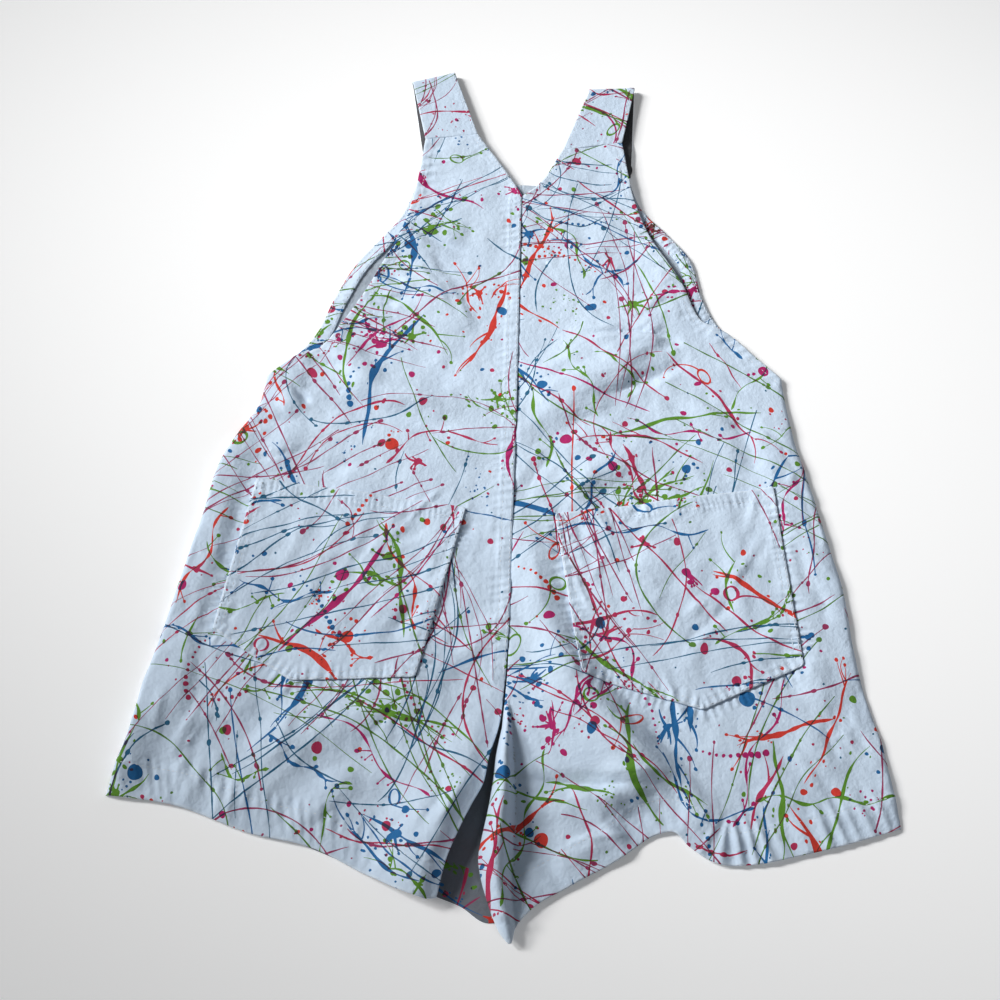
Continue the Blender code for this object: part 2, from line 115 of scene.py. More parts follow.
FRONT_RIGHT = (
    (3, -289, 257, -235), (2, -235, 250, -175), (1.5, -166, 242, -140), (6.5, -95, 236, -74),
    (9, -24, 228, -24), (11.5, 45, 213, 46), (13, 90, 210, 80), (13.5, 112, 208, 100),
    (14, 130, 192, 116), (14.6, 152, 166, 147), (15.3, 180, 156, 171), (16, 205, 149, 206),
    (16.6, 228, 134, 229), (17.1, 248, 112, 256), (17.5, 262, 104, 281), (18, 278, 101, 310),
)
HEM_BACK_LEFT = (
    (-258, -216), (-215, -222), (-161, -241), (-122, -250),
    (-83, -269), (-57, -281), (-46, -284), (-40, -283),
)
HEM_BACK_RIGHT = (
    (-5, -294), (1, -306), (6, -311), (10, -300), (20, -289), (44, -275), (76, -258),
    (104, -241), (111, -240), (122, -250), (138, -260), (165, -261), (190, -256),
    (217, -250), (260, -238),
)
HEM_FRONT_LEFT = (
    (-256, -212), (-162, -235), (-77, -268), (-40, -281), (-25, -287), (-9, -297), (3, -296),
)
HEM_FRONT_RIGHT = (
    (3, -289), (22, -283), (44, -270), (76, -253),
    (108, -234), (146, -249), (200, -248), (257, -235),
)
NECK_FRONT_LEFT = ((18, 278), (4, 278), (-12, 287), (-25, 310))
NECK_FRONT_RIGHT = ((66, 310), (52, 287), (34, 278), (18, 278))

# Corners of a patch pocket: top at the outer side, top at the seam side, bottom at the seam
# side, lowest outer corner, and where the cut-off corner meets the outer side.
POCKET_LEFT = ((-175, 15), (-24, -9), (-57, -138), (-141, -139), (-197, -102))
POCKET_RIGHT = ((196, 7), (39, -14), (55, -135), (136, -159), (206, -128))

STRAP_LEFT = {"seam": (-60.5, 322, -18, 327), "fold": (-72, 381, -37, 391), "end": (-59, 286, -24, 286)}
STRAP_RIGHT = {"seam": (51, 311, 99, 318), "fold": (74, 373, 111.5, 374.5), "end": (66, 286, 105, 286)}

# The folded inseam of the right leg, which stands up as a roll: y, left x, right x, height.
ROLL_FULLNESS = 0.8
ROLL = (
    (-318, 5, 9, 1), (-309, 1, 10, 4), (-294, -5, 9, 10), (-281, -9, 8, 13),
    (-269, -12.5, 8, 16), (-257, -14, 9, 18), (-236, -10, 10, 19), (-207, -5, 10, 17),
    (-189, -2.8, 9, 13), (-171, 1.2, 8, 7), (-150, 4, 6, 0),
)
# The lifted inner edge of the left leg: y, x of the edge, height.
INNER_LIFT = (
    (-290, -43, 9), (-283, -40, 11), (-258, -33.5, 14), (-236, -24, 14.5), (-224, -18, 14),
    (-211, -11, 12.5), (-192, -7, 9.5), (-172, -1, 5), (-158, 0.5, 2), (-144, 1.5, 0),
)
INNER_LIFT_EDGE = 0.62
INNER_LIFT_CREST = 13.0
INNER_LIFT_WIDTH = 60.0

# ---------------------------------------------------------------- creases, in mm
# Creases of the back, each an arc: x and y of its start, a place near its middle and its end,
# half width, height (below 0, a trough) and sharpness, from 0, a soft wave, to 1, a sharp fold.
# Where a tenth number stands, the crease's left side, seen along it, is that many times as wide.
CREASES_LEFT = (
    # bib and armhole
    (17, 262, 15, 165, 13, 74, 62, -3.8, 0),
    (17, 268, 16, 205, 14, 136, 9, -0.9, 0),
    (-74, 220, -46, 182, -14, 120, 26, 3.8, 0, 0.4),
    (-56, 226, -26, 184, 2, 122, 9, -2.6, 0.1),
    (-74, 238, -50, 224, -22, 211, 6, -2.6, 0.6),
    (-66, 246, -44, 238, -22, 228, 6, 1.2, 0.4),
    (-96, 196, -84, 190, -72, 180, 5, -1.8, 0.6),
    (-104, 170, -90, 168, -76, 160, 6, -1.8, 0.5),
    (-112, 150, -96, 150, -80, 142, 6, 1.6, 0.3),
    (-120, 140, -104, 140, -88, 132, 6, -2.2, 0.5),
    (-132, 128, -118, 126, -100, 118, 5, 1.5, 0.3),
    (-146, 118, -130, 112, -112, 106, 5, -2.0, 0.5),
    # middle, from the armhole's foot to the seam
    (-134, 116, -88, 89, -14, 67, 11, 4.4, 0.1),
    (-114, 138, -109, 110, -84, 88, 15, 3.4, 0, 0.8),
    (-120, 136, -78, 116, -24, 103, 10, -2.0, 0.1),
    (-143, 84, -82, 68, -25, 48, 10, -2.4, 0.1),
    (-114, 62, -62, 46, -8, 24, 11, 2.6, 0),
    (-156, 94, -148, 85, -140, 76, 5, -1.8, 0.8),
    (-158, 116, -154, 92, -158, 60, 15, 3.2, 0, 0.5),
    (-150, 62, -158, 40, -172, 26, 9, 1.6, 0),
    # outer side
    (-180, 84, -200, 0, -212, -104, 80, 4.0, 0, 0.16),
    (-204, -30, -215, -116, -220, -206, 40, 3.8, 0, 0.30),
    (-184, 60, -200, -60, -206, -206, 30, 1.2, 0, 1.2),
    (-178, 30, -188, -20, -199, -80, 6, -1.3, 0.2),
    (-197, -50, -204, -112, -206, -176, 7, -1.8, 0.2),
    (-236, -140, -247, -180, -254, -222, 17, 7.0, 0),
    # over the pocket
    (-156, -70, -146, -38, -132, -6, 7, 1.8, 0),
    (-132, -70, -120, -40, -107, -10, 7, 2.0, 0.1),
    (-110, -62, -101, -36, -92, -10, 6, 1.8, 0.2),
    (-54, -66, -45, -40, -34, -14, 6, 1.7, 0.1),
    (-26, -38, -44, -80, -64, -130, 10, 1.9, 0.1),
    (-18, -38, -36, -78, -57, -128, 7, -1.4, 0.3),
    (-96, -126, -80, -94, -62, -64, 8, 1.6, 0),
    (-128, -124, -108, -90, -86, -64, 8, 1.3, 0),
    # leg
    (-56, -84, -64, -150, -84, -218, 66, 4.6, 0, 0.35),
    (-172, -204, -116, -172, -40, -142, 18, 2.6, 0),
    (-156, -226, -112, -196, -44, -166, 15, -3.0, 0),
    (-187, -188, -164, -164, -142, -148, 12, -2.0, 0),
    (-134, -238, -110, -216, -82, -204, 12, 1.6, 0),
    (-104, -258, -88, -228, -66, -200, 14, -3.0, 0),
    (-2, -88, -23, -118, -58, -148, 8, 1.8, 0.2),
    (-184, -236, -174, -214, -160, -200, 9, 2.0, 0),
    (-212, -228, -204, -208, -196, -190, 8, 1.8, 0),
)
CREASES_RIGHT = (
    # bib and armhole
    (17, 262, 15, 165, 13, 74, 62, -3.8, 0),
    (17, 268, 16, 205, 14, 136, 9, -0.9, 0),
    (104, 160, 74, 108, 14, 66, 34, 5.6, 0, 0.62),
    (112, 152, 94, 112, 42, 70, 14, 1.8, 0),
    (146, 116, 112, 99, 70, 80, 7, -3.0, 0.6),
    (84, 84, 50, 58, 14, 40, 11, -2.4, 0.2),
    (142, 122, 112, 139, 58, 136, 5, -2.4, 0.8),
    (38, 178, 61, 171, 84, 150, 5, -1.0, 0.8),
    (112, 184, 115, 152, 106, 122, 9, 2.6, 0.1),
    (100, 210, 92, 188, 78, 170, 8, -1.0, 0.3),
    # over and round the pocket's top
    (18, -8, 26, 20, 50, 44, 7, -1.8, 0.4),
    (44, -4, 76, 24, 120, 37, 11, 2.7, 0),
    (112, 232, 128, 190, 146, 140, 16, 3.4, 0),
    (56, -12, 86, 4, 124, 16, 12, -1.8, 0),
    (132, 52, 160, 40, 182, 20, 11, 2.0, 0),
    (150, 84, 172, 70, 196, 44, 9, -1.6, 0.3),
    # outer side
    (172, 104, 201, 6, 216, -80, 8, 3.0, 0, 3.4),
    (206, -26, 216, -92, 224, -160, 9, 1.4, 0, 5),
    (196, 60, 217, 0, 226, -62, 4, -0.8, 0.5),
    # seam side and leg
    (22, -10, 30, -84, 56, -160, 14, 4.6, 0, 0.8),
    (46, -50, 58, -104, 88, -150, 14, -2.0, 0),
    (32, -92, 70, -168, 142, -236, 44, 7.6, 0, 0.34),
    (32, -92, 70, -168, 142, -236, 24, 5.2, 0, 0.56),
    (98, -146, 132, -190, 180, -230, 24, -3.6, 0),
    (108, -158, 146, -180, 194, -202, 10, 3.0, 0),
    (4, -202, 50, -209, 112, -211, 7, -4.2, 0.5),
    (72, -248, 99, -226, 128, -206, 15, -8.0, 0),
    (50, -242, 72, -218, 98, -196, 13, 2.6, 0),
    (6, -234, 30, -227, 58, -231, 8, 2.0, 0.1),
    (38, -264, 64, -247, 98, -236, 7, 2.0, 0.1),
    (138, -209, 169, -228, 199, -250, 12, -2.0, 0.1),
    (244, -140, 238, -157, 234, -174, 7, -1.2, 0.2),
    (206, -118, 213, -140, 214, -162, 10, 2.4, 0),
    (196, -170, 210, -190, 232, -206, 10, 1.8, 0),
    (22, -222, 23, -245, 21, -278, 12, -2.0, 0),
    # over the pocket
    (88, -110, 104, -60, 118, -20, 11, 1.7, 0),
    (150, -120, 150, -80, 142, -40, 11, -1.6, 0),
    (176, -126, 184, -112, 196, -96, 7, 2.0, 0),
    (168, -110, 164, -70, 168, -30, 8, 1.4, 0),
    (60, -60, 84, -88, 112, -100, 9, 1.3, 0.2),
    # on the roll
    (0, -196, 4, -206, 8, -212, 5, -0.8, 0.3),
    (-12, -232, -2, -240, 6, -252, 6, 1.6, 0.2),
    (-12, -262, 0, -268, 8, -266, 5, -1.2, 0.4),
    (-4, -286, 4, -290, 9, -286, 4, -1.4, 0.6),
    (-2, -296, 5, -299, 9, -295, 3.5, -1.2, 0.6),
)

# Small stray folds come in combs that lie much the same way: the comb's x and y, the way that
# its folds run in degrees, how many there are, and how far they spread.
COMBS_LEFT = (
    (-45, 190, -50, 8, 22), (-95, 165, 12, 9, 26), (-60, 100, -25, 10, 40), (-150, 80, -40, 8, 20),
    (-130, 45, -15, 8, 35), (-205, -60, 82, 9, 40), (-110, -60, 52, 20, 50), (-30, -30, 80, 8, 40),
    (-130, -185, 42, 16, 45), (-60, -200, 60, 12, 35), (-215, -190, 70, 9, 25),
)
COMBS_RIGHT = (
    (60, 215, -30, 6, 25), (110, 140, 25, 10, 25), (60, 90, 25, 9, 35), (170, 80, -35, 8, 30),
    (205, -20, -78, 11, 50), (120, -60, 50, 20, 50), (35, -60, -75, 10, 40), (90, -160, -40, 10, 35),
    (60, -225, -10, 10, 30), (170, -200, -25, 9, 35), (215, -190, -60, 9, 30),
)
STRAY_LENGTH = (16.0, 64.0)
STRAY_HALF_WIDTH = (2.6, 7.5)
STRAY_HEIGHT = (0.45, 1.5)
STRAY_TURN = 15.0           # spread of their ways, in degrees

# Stitched bands along an edge: its part of the outline, width, extra thickness, then the length,
# height and reach of its puckers, and how far they lean over.
BANDS_LEFT = (
    ("hem", 22.0, 0.7, 9.0, 0.8, 9.0, 0.35),
    ("seam", 9.0, 0.75, 6.5, 0.95, 9.0, 0.15),
    ("neck", 6.0, 0.4, 6.0, 0.3, 4.0, 0.0),
    ("armhole", 6.0, 0.5, 11.0, 1.5, 11.0, 0.3),
)
BANDS_RIGHT = (
    ("hem", 22.0, 0.5, 15.0, 0.8, 14.0, 0.3),
    ("neck", 6.0, 0.4, 6.0, 0.3, 4.0, 0.0),
    ("armhole", 6.0, 0.5, 8.5, 0.8, 9.0, -0.3),
)
HEM_PUCKERS = {     # gathers of the hems: over which x, how far in, length, height, reach, lean
    "left": ((-215, -92), 20.0, 8.5, 1.3, 9.0, 0.3),
    "right": ((124, 260), 11.0, 10.5, 3.0, 22.0, 0.1),
}
POCKET_PUCKER = (6.0, 1.7, 11.0)     # length, height and reach beside a pocket's stitching
POCKET_HEM = 10.0
STITCH_GROOVE = 0.40
STITCH_GROOVE_WIDTH = 0.9
STITCH_INSET = 1.2          # a row of stitches from the edge of its band
SEAM_SINK = 0.30            # how far the right half sinks beside the felled seam
SEAM_SINK_WIDTH = 3.0
WAVE_POWER = 0.8            # how much lower the short waves of both kinds are
CRINKLE_HEIGHT = 0.24       # fine soft waves of the upper face
CRINKLE_WAVES = 26
CRINKLE_LENGTHS = (8.0, 34.0)
CRUMPLE_HEIGHT = 0.72       # broad facets with sharp ridges between them
CRUMPLE_WAVES = 13
CRUMPLE_LENGTHS = (26.0, 84.0)
CRUMPLE_BEND = 0.9          # how far a ridge of the crumple wanders, as a phase
# Where the crumple is calmer: x, y and reach.
CALM_LEFT = ((-55, -238, 34), (-28, -196, 24), (-50, 165, 26))
CALM_RIGHT = ((48, -176, 40), (90, -180, 26), (2, -230, 24), (55, 118, 26), (100, -222, 20))
CALM_SHARE = 0.8            # how much of the crumple is gone there

# ---------------------------------------------------------------- colours, as linear RGB
TWILL = (0.64, 0.765, 0.91)
TWILL_SHADE = (0.595, 0.715, 0.86)
TWILL_WORN = (0.71, 0.80, 0.90)
WRONG_SIDE = (0.52, 0.60, 0.69)
WRONG_SIDE_SHADE = (0.46, 0.53, 0.61)
WRONG_SIDE_PAINTED_SHADE = (0.17, 0.19, 0.22)      # painted shade: the wrong side drawn darker inside the legs, where they lie in shade
# Painted shade: the strap's under face is coloured near black, for the deep shade beneath the folded strap.
STRAP_PAINTED_SHADE = (0.090, 0.092, 0.100)
STRAP_PAINTED_SHADE_TONE = (0.065, 0.066, 0.075)
THREAD = (0.74, 0.80, 0.87)
DARK_PLASTIC = (0.012, 0.012, 0.015)
PRINT_COLOURS = {
    "crimson": (0.44, 0.024, 0.090),
    "orange_red": (0.62, 0.040, 0.026),
    "magenta": (0.42, 0.012, 0.130),
    "green": (0.105, 0.270, 0.022),
    "blue": (0.010, 0.125, 0.330),
    "wine": (0.32, 0.034, 0.110),
    "teal": (0.018, 0.120, 0.225),
    "moss": (0.085, 0.210, 0.032),
    "ink": (0.030, 0.034, 0.060),
    "overlap_warm": (0.075, 0.035, 0.025),
    "overlap_cool": (0.030, 0.022, 0.060),
}
# The darker ink of thin lines and small drops.
THIN_COLOURS = {
    "crimson": "wine", "orange_red": "crimson", "magenta": "wine", "blue": "teal", "green": "moss",
}
COOL_COLOURS = {"blue", "teal", "magenta"}
PRINT_ORDER = ("cloth", "wrong side", "painted strap shade", *PRINT_COLOURS)


# ---------------------------------------------------------------- lines and smooth steps
def smooth(value):
    """0 below 0, 1 above 1, and an even S between."""
    held = np.clip(value, 0.0, 1.0)
    return held * held * (3.0 - 2.0 * held)


def rounded_through(knots, values, at):
    """A curve through values at rising knots, read at the places at (Catmull-Rom)."""
    knots = np.asarray(knots, float)
    values = np.asarray(values, float)
    slopes = np.gradient(values, knots, axis=0)
    at = np.clip(at, knots[0], knots[-1])
    place = np.clip(np.searchsorted(knots, at, side="right") - 1, 0, len(knots) - 2)
    width = knots[place + 1] - knots[place]
    share = (at - knots[place]) / width
    if values.ndim > 1:
        width = width[:, None]
        share = share[:, None]
    start = values[place] * (1 + 2 * share) * (1 - share) ** 2
    start = start + slopes[place] * width * share * (1 - share) ** 2
    finish = values[place + 1] * (3 - 2 * share) * share**2
    return start - slopes[place + 1] * width * (1 - share) * share**2 + finish


def lengths_along(line):
    """Arc length at each point of a line."""
    return np.concatenate([[0], np.cumsum(np.hypot(*np.diff(line, axis=0).T))])


def evened(line, step):
    """The same line with points every step or so."""
    reach = lengths_along(line)
    count = max(1, round(reach[-1] / step))
    at = np.linspace(0, reach[-1], count + 1)
    return np.stack([np.interp(at, reach, line[:, 0]), np.interp(at, reach, line[:, 1])], axis=1)


def smooth_line(points, step=2.0):
    """A smooth line through a few points, with points every step or so."""
    points = np.array(points, float)
    if len(points) == 2:
        return evened(points, step)
    reach = lengths_along(points)
    fine = rounded_through(reach, points, np.linspace(0, reach[-1], 40 * len(points)))
    return evened(fine, step)


def side_ways(line):
    """The unit normal at each point of a line, to its left."""
    along = np.gradient(line, axis=0)
    along = along / np.maximum(np.hypot(along[:, 0], along[:, 1]), 1e-9)[:, None]
    return np.stack([-along[:, 1], along[:, 0]], axis=1)


def beside(line, distance):
    """A line that keeps a distance to the left of another."""
    return line + side_ways(line) * distance


def along_line(x, y, line):
    """Arc length of the nearest place on a line, and the distance from it, above 0 on its left."""
    reach = lengths_along(line)
    nearest = np.empty(len(x), int)
    for start in range(0, len(x), 20000):
        part = slice(start, start + 20000)
        gaps = (x[part, None] - line[None, :, 0]) ** 2 + (y[part, None] - line[None, :, 1]) ** 2
        nearest[part] = np.argmin(gaps, axis=1)
    best = np.full(len(x), 1e9)
    place = np.zeros(len(x))
    for shift in (-1, 0):
        first = np.clip(nearest + shift, 0, len(line) - 2)
        a, b = line[first], line[first + 1]
        span = b - a
        length = np.maximum(np.hypot(span[:, 0], span[:, 1]), 1e-9)
        dx, dy = x - a[:, 0], y - a[:, 1]
        share = np.clip((dx * span[:, 0] + dy * span[:, 1]) / length**2, 0, 1)
        off = np.hypot(dx - share * span[:, 0], dy - share * span[:, 1])
        side = np.where(dy * span[:, 0] - dx * span[:, 1] >= 0, 1, -1)
        closer = off < np.abs(best)
        best = np.where(closer, off * side, best)
        place = np.where(closer, reach[first] + share * length, place)
    return place, best


def boxed(x, y, line, reach):
    """True for each place in a line's box, grown by a reach on every side."""
    low, high = line.min(axis=0) - reach, line.max(axis=0) + reach
    return (x > low[0]) & (x < high[0]) & (y > low[1]) & (y < high[1])


def inside(x, y, outline):
    """True for each place that lies within a closed outline."""
    found = np.zeros(len(x), bool)
    for (x1, y1), (x2, y2) in zip(outline, np.roll(outline, -1, axis=0)):
        if y1 == y2:
            continue
        crosses = (y1 > y) != (y2 > y)
        found ^= crosses & (x < x1 + (y - y1) / (y2 - y1) * (x2 - x1))
    return found


def to_world(points):
    """Metres of the CAD frame from millimetres on the table."""
    return (np.asarray(points, float) - (ORIGIN[0], ORIGIN[1], 0.0)) * MM


# ---------------------------------------------------------------- outlines
def row_edge(rows, right, first, last):
    """Part of a panel's left or right edge, between two of its rows."""
    column = 2 if right else 0
    return [row[column:column + 2] for row in rows[first:last + 1]]


# Each panel's rows and hem, its neckline where the rows don't give it, and the rows in which its
# side, its inner edge and its seam end.
PANELS = {
    "back_left": (BACK_LEFT, HEM_BACK_LEFT, None, 13, 7, 19),
    "back_right": (BACK_RIGHT, HEM_BACK_RIGHT, None, 15, 8, 22),
    "front_left": (FRONT_LEFT, HEM_FRONT_LEFT, NECK_FRONT_LEFT, 7, 0, 15),
    "front_right": (FRONT_RIGHT, HEM_FRONT_RIGHT, NECK_FRONT_RIGHT, 7, 0, 15),
}


def panel_parts(name):
    """The named parts of a panel's outline, anticlockwise as seen from above."""
    rows, hem, neck, side_end, inner_end, seam_end = PANELS[name]
    is_left = name.endswith("left")
    last = len(rows) - 1
    side = {
        "side": row_edge(rows, not is_left, 0, side_end),
        "armhole": row_edge(rows, not is_left, side_end, last),
    }
    middle = {"seam": row_edge(rows, is_left, inner_end, seam_end)}
    if inner_end:
        middle = {"inner": row_edge(rows, is_left, 0, inner_end), **middle}
    if neck is None:
        neck = row_edge(rows, is_left, seam_end, last)
    elif not is_left:
        neck = neck[::-1]
    middle["neck"] = neck
    first, second = (middle, side) if is_left else (side, middle)
    top = [list(first.values())[-1][-1], list(second.values())[-1][-1]]
    down = {part: points[::-1] for part, points in reversed(second.items())}
    parts = {"hem": hem, **first, "top": top, **down}
    return {part: smooth_line(points) for part, points in parts.items()}


def joined(parts):
    """One closed outline from parts that end where the next begins."""
    outline = np.concatenate([part[:-1] for part in parts])
    gaps = np.hypot(*(outline - np.roll(outline, 1, axis=0)).T)
    return outline[gaps > 0.05]


def corner_round(corners, radius, steps=5):
    """The sides of a polygon as lines, with each corner rounded."""
    corners = np.array(corners, float)
    starts, ends, arcs = [], [], []
    for before, corner, after in zip(np.roll(corners, 1, 0), corners, np.roll(corners, -1, 0)):
        back = (before - corner) / np.hypot(*(before - corner))
        ahead = (after - corner) / np.hypot(*(after - corner))
        start, end = corner + back * radius, corner + ahead * radius
        share = np.linspace(0, 1, steps + 1)[:, None]
        arcs.append(start * (1 - share) ** 2 + 2 * corner * share * (1 - share) + end * share**2)
        starts.append(start)
        ends.append(end)
    sides = []
    for index, arc in enumerate(arcs):
        side = evened(np.array([ends[index], starts[(index + 1) % len(corners)]]), 2.0)
        sides.append(np.concatenate([arc, side[1:]]))
    return sides


def pocket_parts(corners):
    """A pocket's outline, anticlockwise: its top edge, and the three stitched sides and corner."""
    outer_is_right = corners[0][0] > corners[1][0]
    order = (1, 2, 3, 4, 0) if outer_is_right else (0, 4, 3, 2, 1)
    sides = corner_round([corners[at] for at in order], POCKET_CORNER)
    sewn = [sides[0]] + [side[1:] for side in sides[1:4]]
    return {"sewn": np.concatenate(sewn), "top": sides[4]}


# ---------------------------------------------------------------- the form
def roll_height(x, y):
    """The standing roll at the right leg's inseam."""
    table = np.array(ROLL, float)
    section = rounded_through(table[:, 0], table[:, 1:], y)
    share = np.clip((x - section[:, 0]) / (section[:, 1] - section[:, 0]), 0, 1)
    return np.clip(section[:, 2], 0, None) * np.sin(math.pi * share) ** ROLL_FULLNESS


def inner_lift(x, y):
    """The lifted inner edge of the left leg, highest a little way in from the edge."""
    table = np.array(INNER_LIFT, float)
    section = rounded_through(table[:, 0], table[:, 1:], y)
    inward = section[:, 0] - x
    rise = INNER_LIFT_EDGE + (1 - INNER_LIFT_EDGE) * smooth(inward / INNER_LIFT_CREST)
    fall = 1 - smooth((inward - INNER_LIFT_CREST) / (INNER_LIFT_WIDTH - INNER_LIFT_CREST))
    return np.clip(section[:, 1], 0, None) * rise * fall


CREASE_RUN_OUT = 0.35       # share of a crease's length over which each end dies away


def crease_height(x, y, crease):
    """One crease: soft or sharp across, dying away towards its ends."""
    start, middle, end = (np.array(crease[at:at + 2], float) for at in (0, 2, 4))
    half_width, height, sharpness = crease[6:9]
    left_width = half_width * (crease[9] if len(crease) > 9 else 1)
    control = 2 * middle - (start + end) / 2
    share = np.linspace(0, 1, 13)[:, None]
    line = start * (1 - share) ** 2 + 2 * control * share * (1 - share) + end * share**2
    near = boxed(x, y, line, 2.2 * max(half_width, left_width))
    raised = np.zeros(len(x))
    if not near.any():
        return raised
    place, off = along_line(x[near], y[near], line)
    length = lengths_along(line)[-1]
    run_out = CREASE_RUN_OUT * length
    ends = smooth(place / run_out) * smooth((length - place) / run_out)
    beyond = np.abs(off) / np.where(off > 0, left_width, half_width)
    wave = (1 - np.clip(beyond / 1.6, 0, 1) ** 2) ** 2
    fold = np.exp(-2.6 * beyond) * 1.25 - 0.35 * np.exp(-((beyond - 1.1) ** 2) * 5)
    raised[near] = height * ends * ((1 - sharpness) * wave + sharpness * fold)
    return raised


def front_armhole(side):
    """The front's edge along its armhole, upwards."""
    rows = FRONT_LEFT if side == "left" else FRONT_RIGHT
    last = len(rows) - 1
    return smooth_line(row_edge(rows, side == "right", ARMHOLE_ROWS, last))


def front_form(x, y):
    """Height of the front's under face: on the table, and up over the bib corners' stack."""
    height = FRONT_LIFT * smooth((y - FRONT_LIFT_FROM) / FRONT_LIFT_LENGTH)
    low, high = ARMHOLE_CURL_SPAN
    share = np.clip((y - low) / (high - low), 0, 1)
    for side, (swell, distance, half_width) in ARMHOLE_CURL.items():
        off = np.abs(along_line(x, y, front_armhole(side))[1])
        swelling = swell * np.exp(-(((off - distance) / half_width) ** 2))
        height = height + swelling * np.sin(math.pi * share)
    return height


def random_waves(rng, count, lengths):
    """Plane waves with random ways and lengths, the long ones higher."""
    waves = []
    for _ in range(count):
        length = math.exp(rng.uniform(math.log(lengths[0]), math.log(lengths[1])))
        turn = rng.uniform(0, math.tau)
        pace = math.tau / length
        height = (length / lengths[1]) ** WAVE_POWER
        phase = rng.uniform(0, math.tau)
        waves.append((math.cos(turn) * pace, math.sin(turn) * pace, phase, height))
    return waves


def crumple_height(x, y, waves):
    """Facets with sharp ridges: folded waves, each bent by the next one."""
    total = np.zeros(len(x))
    for index, (across, up, phase, share) in enumerate(waves):
        other_across, other_up, other_phase, _ = waves[index - 1]
        warp = CRUMPLE_BEND * np.sin(0.6 * (other_across * x + other_up * y) + other_phase)
        fold = 1 - np.abs(np.sin(0.5 * (across * x + up * y + phase + warp)))
        patch = 0.6 + 0.4 * np.sin(0.31 * (other_up * x - other_across * y) + phase)
        total += share * patch * (fold**1.3 - 0.33) * (1 if index % 2 else -1)
    return CRUMPLE_HEIGHT * total


def stray_folds(rng, combs):
    """Small folds in combs, in the same form as the listed creases."""
    folds = []
    for x, y, way, count, spread in combs:
        for _ in range(count):
            angle = math.radians(way + rng.gauss(0, STRAY_TURN))
            length = rng.uniform(*STRAY_LENGTH)
            middle_x = x + rng.gauss(0, 0.6 * spread)
            middle_y = y + rng.gauss(0, 0.6 * spread)
            half_x, half_y = math.cos(angle) * length / 2, math.sin(angle) * length / 2
            bow = rng.uniform(-0.12, 0.12)
            height = rng.choice((-1, 1)) * rng.uniform(*STRAY_HEIGHT)
            start = (middle_x - half_x, middle_y - half_y)
            middle = (middle_x - bow * half_y, middle_y + bow * half_x)
            end = (middle_x + half_x, middle_y + half_y)
            half_width = rng.uniform(*STRAY_HALF_WIDTH)
            folds.append((*start, *middle, *end, half_width, height, rng.uniform(0.0, 0.8)))
    return folds


class BackForm:
    """The height of a back half's upper face, with its creases but no seams or puckers."""

    def __init__(self, side, seed):
        is_left = side == "left"
        self.parts = panel_parts("back_" + side)
        self.crumple = random_waves(random.Random(seed), CRUMPLE_WAVES, CRUMPLE_LENGTHS)
        self.creases = CREASES_LEFT if is_left else CREASES_RIGHT
        self.strays = stray_folds(random.Random(seed + 1), COMBS_LEFT if is_left else COMBS_RIGHT)
        self.calm = CALM_LEFT if is_left else CALM_RIGHT
        self.side_roll = SIDE_ROLL[side]
        self.lifted = inner_lift if is_left else roll_height

    def __call__(self, x, y):
        from_side = np.abs(along_line(x, y, self.parts["side"])[1])
        from_hem = np.abs(along_line(x, y, self.parts["hem"])[1])
        height = BACK_LOFT + BIB_LIFT * smooth((y - BIB_LIFT_FROM) / BIB_LIFT_LENGTH)
        fading = 1 - smooth((y - SIDE_ROLL_TOP) / SIDE_ROLL_FADE)
        height = height - self.side_roll * (1 - smooth(from_side / SIDE_ROLL_WIDTH)) * fading
        height = height - HEM_DROP * (1 - smooth(from_hem / HEM_DROP_LENGTH))
        height = height + self.lifted(x, y)
        folds = np.zeros(len(x))
        for crease in (*self.creases, *self.strays):
            folds = folds + crease_height(x, y, crease)
        calm = np.ones(len(x))
        for calm_x, calm_y, reach in self.calm:
            gap = (x - calm_x) ** 2 + (y - calm_y) ** 2
            calm = calm * (1 - CALM_SHARE * np.exp(-gap / reach**2))
        folds = folds + calm * crumple_height(x, y, self.crumple)
        height = height + folds * smooth(SIDE_CALM + from_side / SIDE_ROLL_WIDTH)
        climb = smooth((y - FACING_FOOT) / LOWEST_CLIMB)
        lowest = LOWEST_BACK + (LOWEST_OVER_FACING - LOWEST_BACK) * climb
        height = lowest + np.logaddexp(0, (height - lowest) / LOWEST_SOFTNESS) * LOWEST_SOFTNESS
        turn = np.clip(1 - from_side / SIDE_FOLD_RADIUS, 0, 1)
        fold = np.sqrt(1 - turn**2)
        share = fading * (from_side < SIDE_FOLD_RADIUS)
        return height * (1 - share) + (SIDE_FOLD_FOOT + (height - SIDE_FOLD_FOOT) * fold) * share


# ---------------------------------------------------------------- fine relief
PUCKER_BOX = 40.0           # beyond which a pucker no longer counts


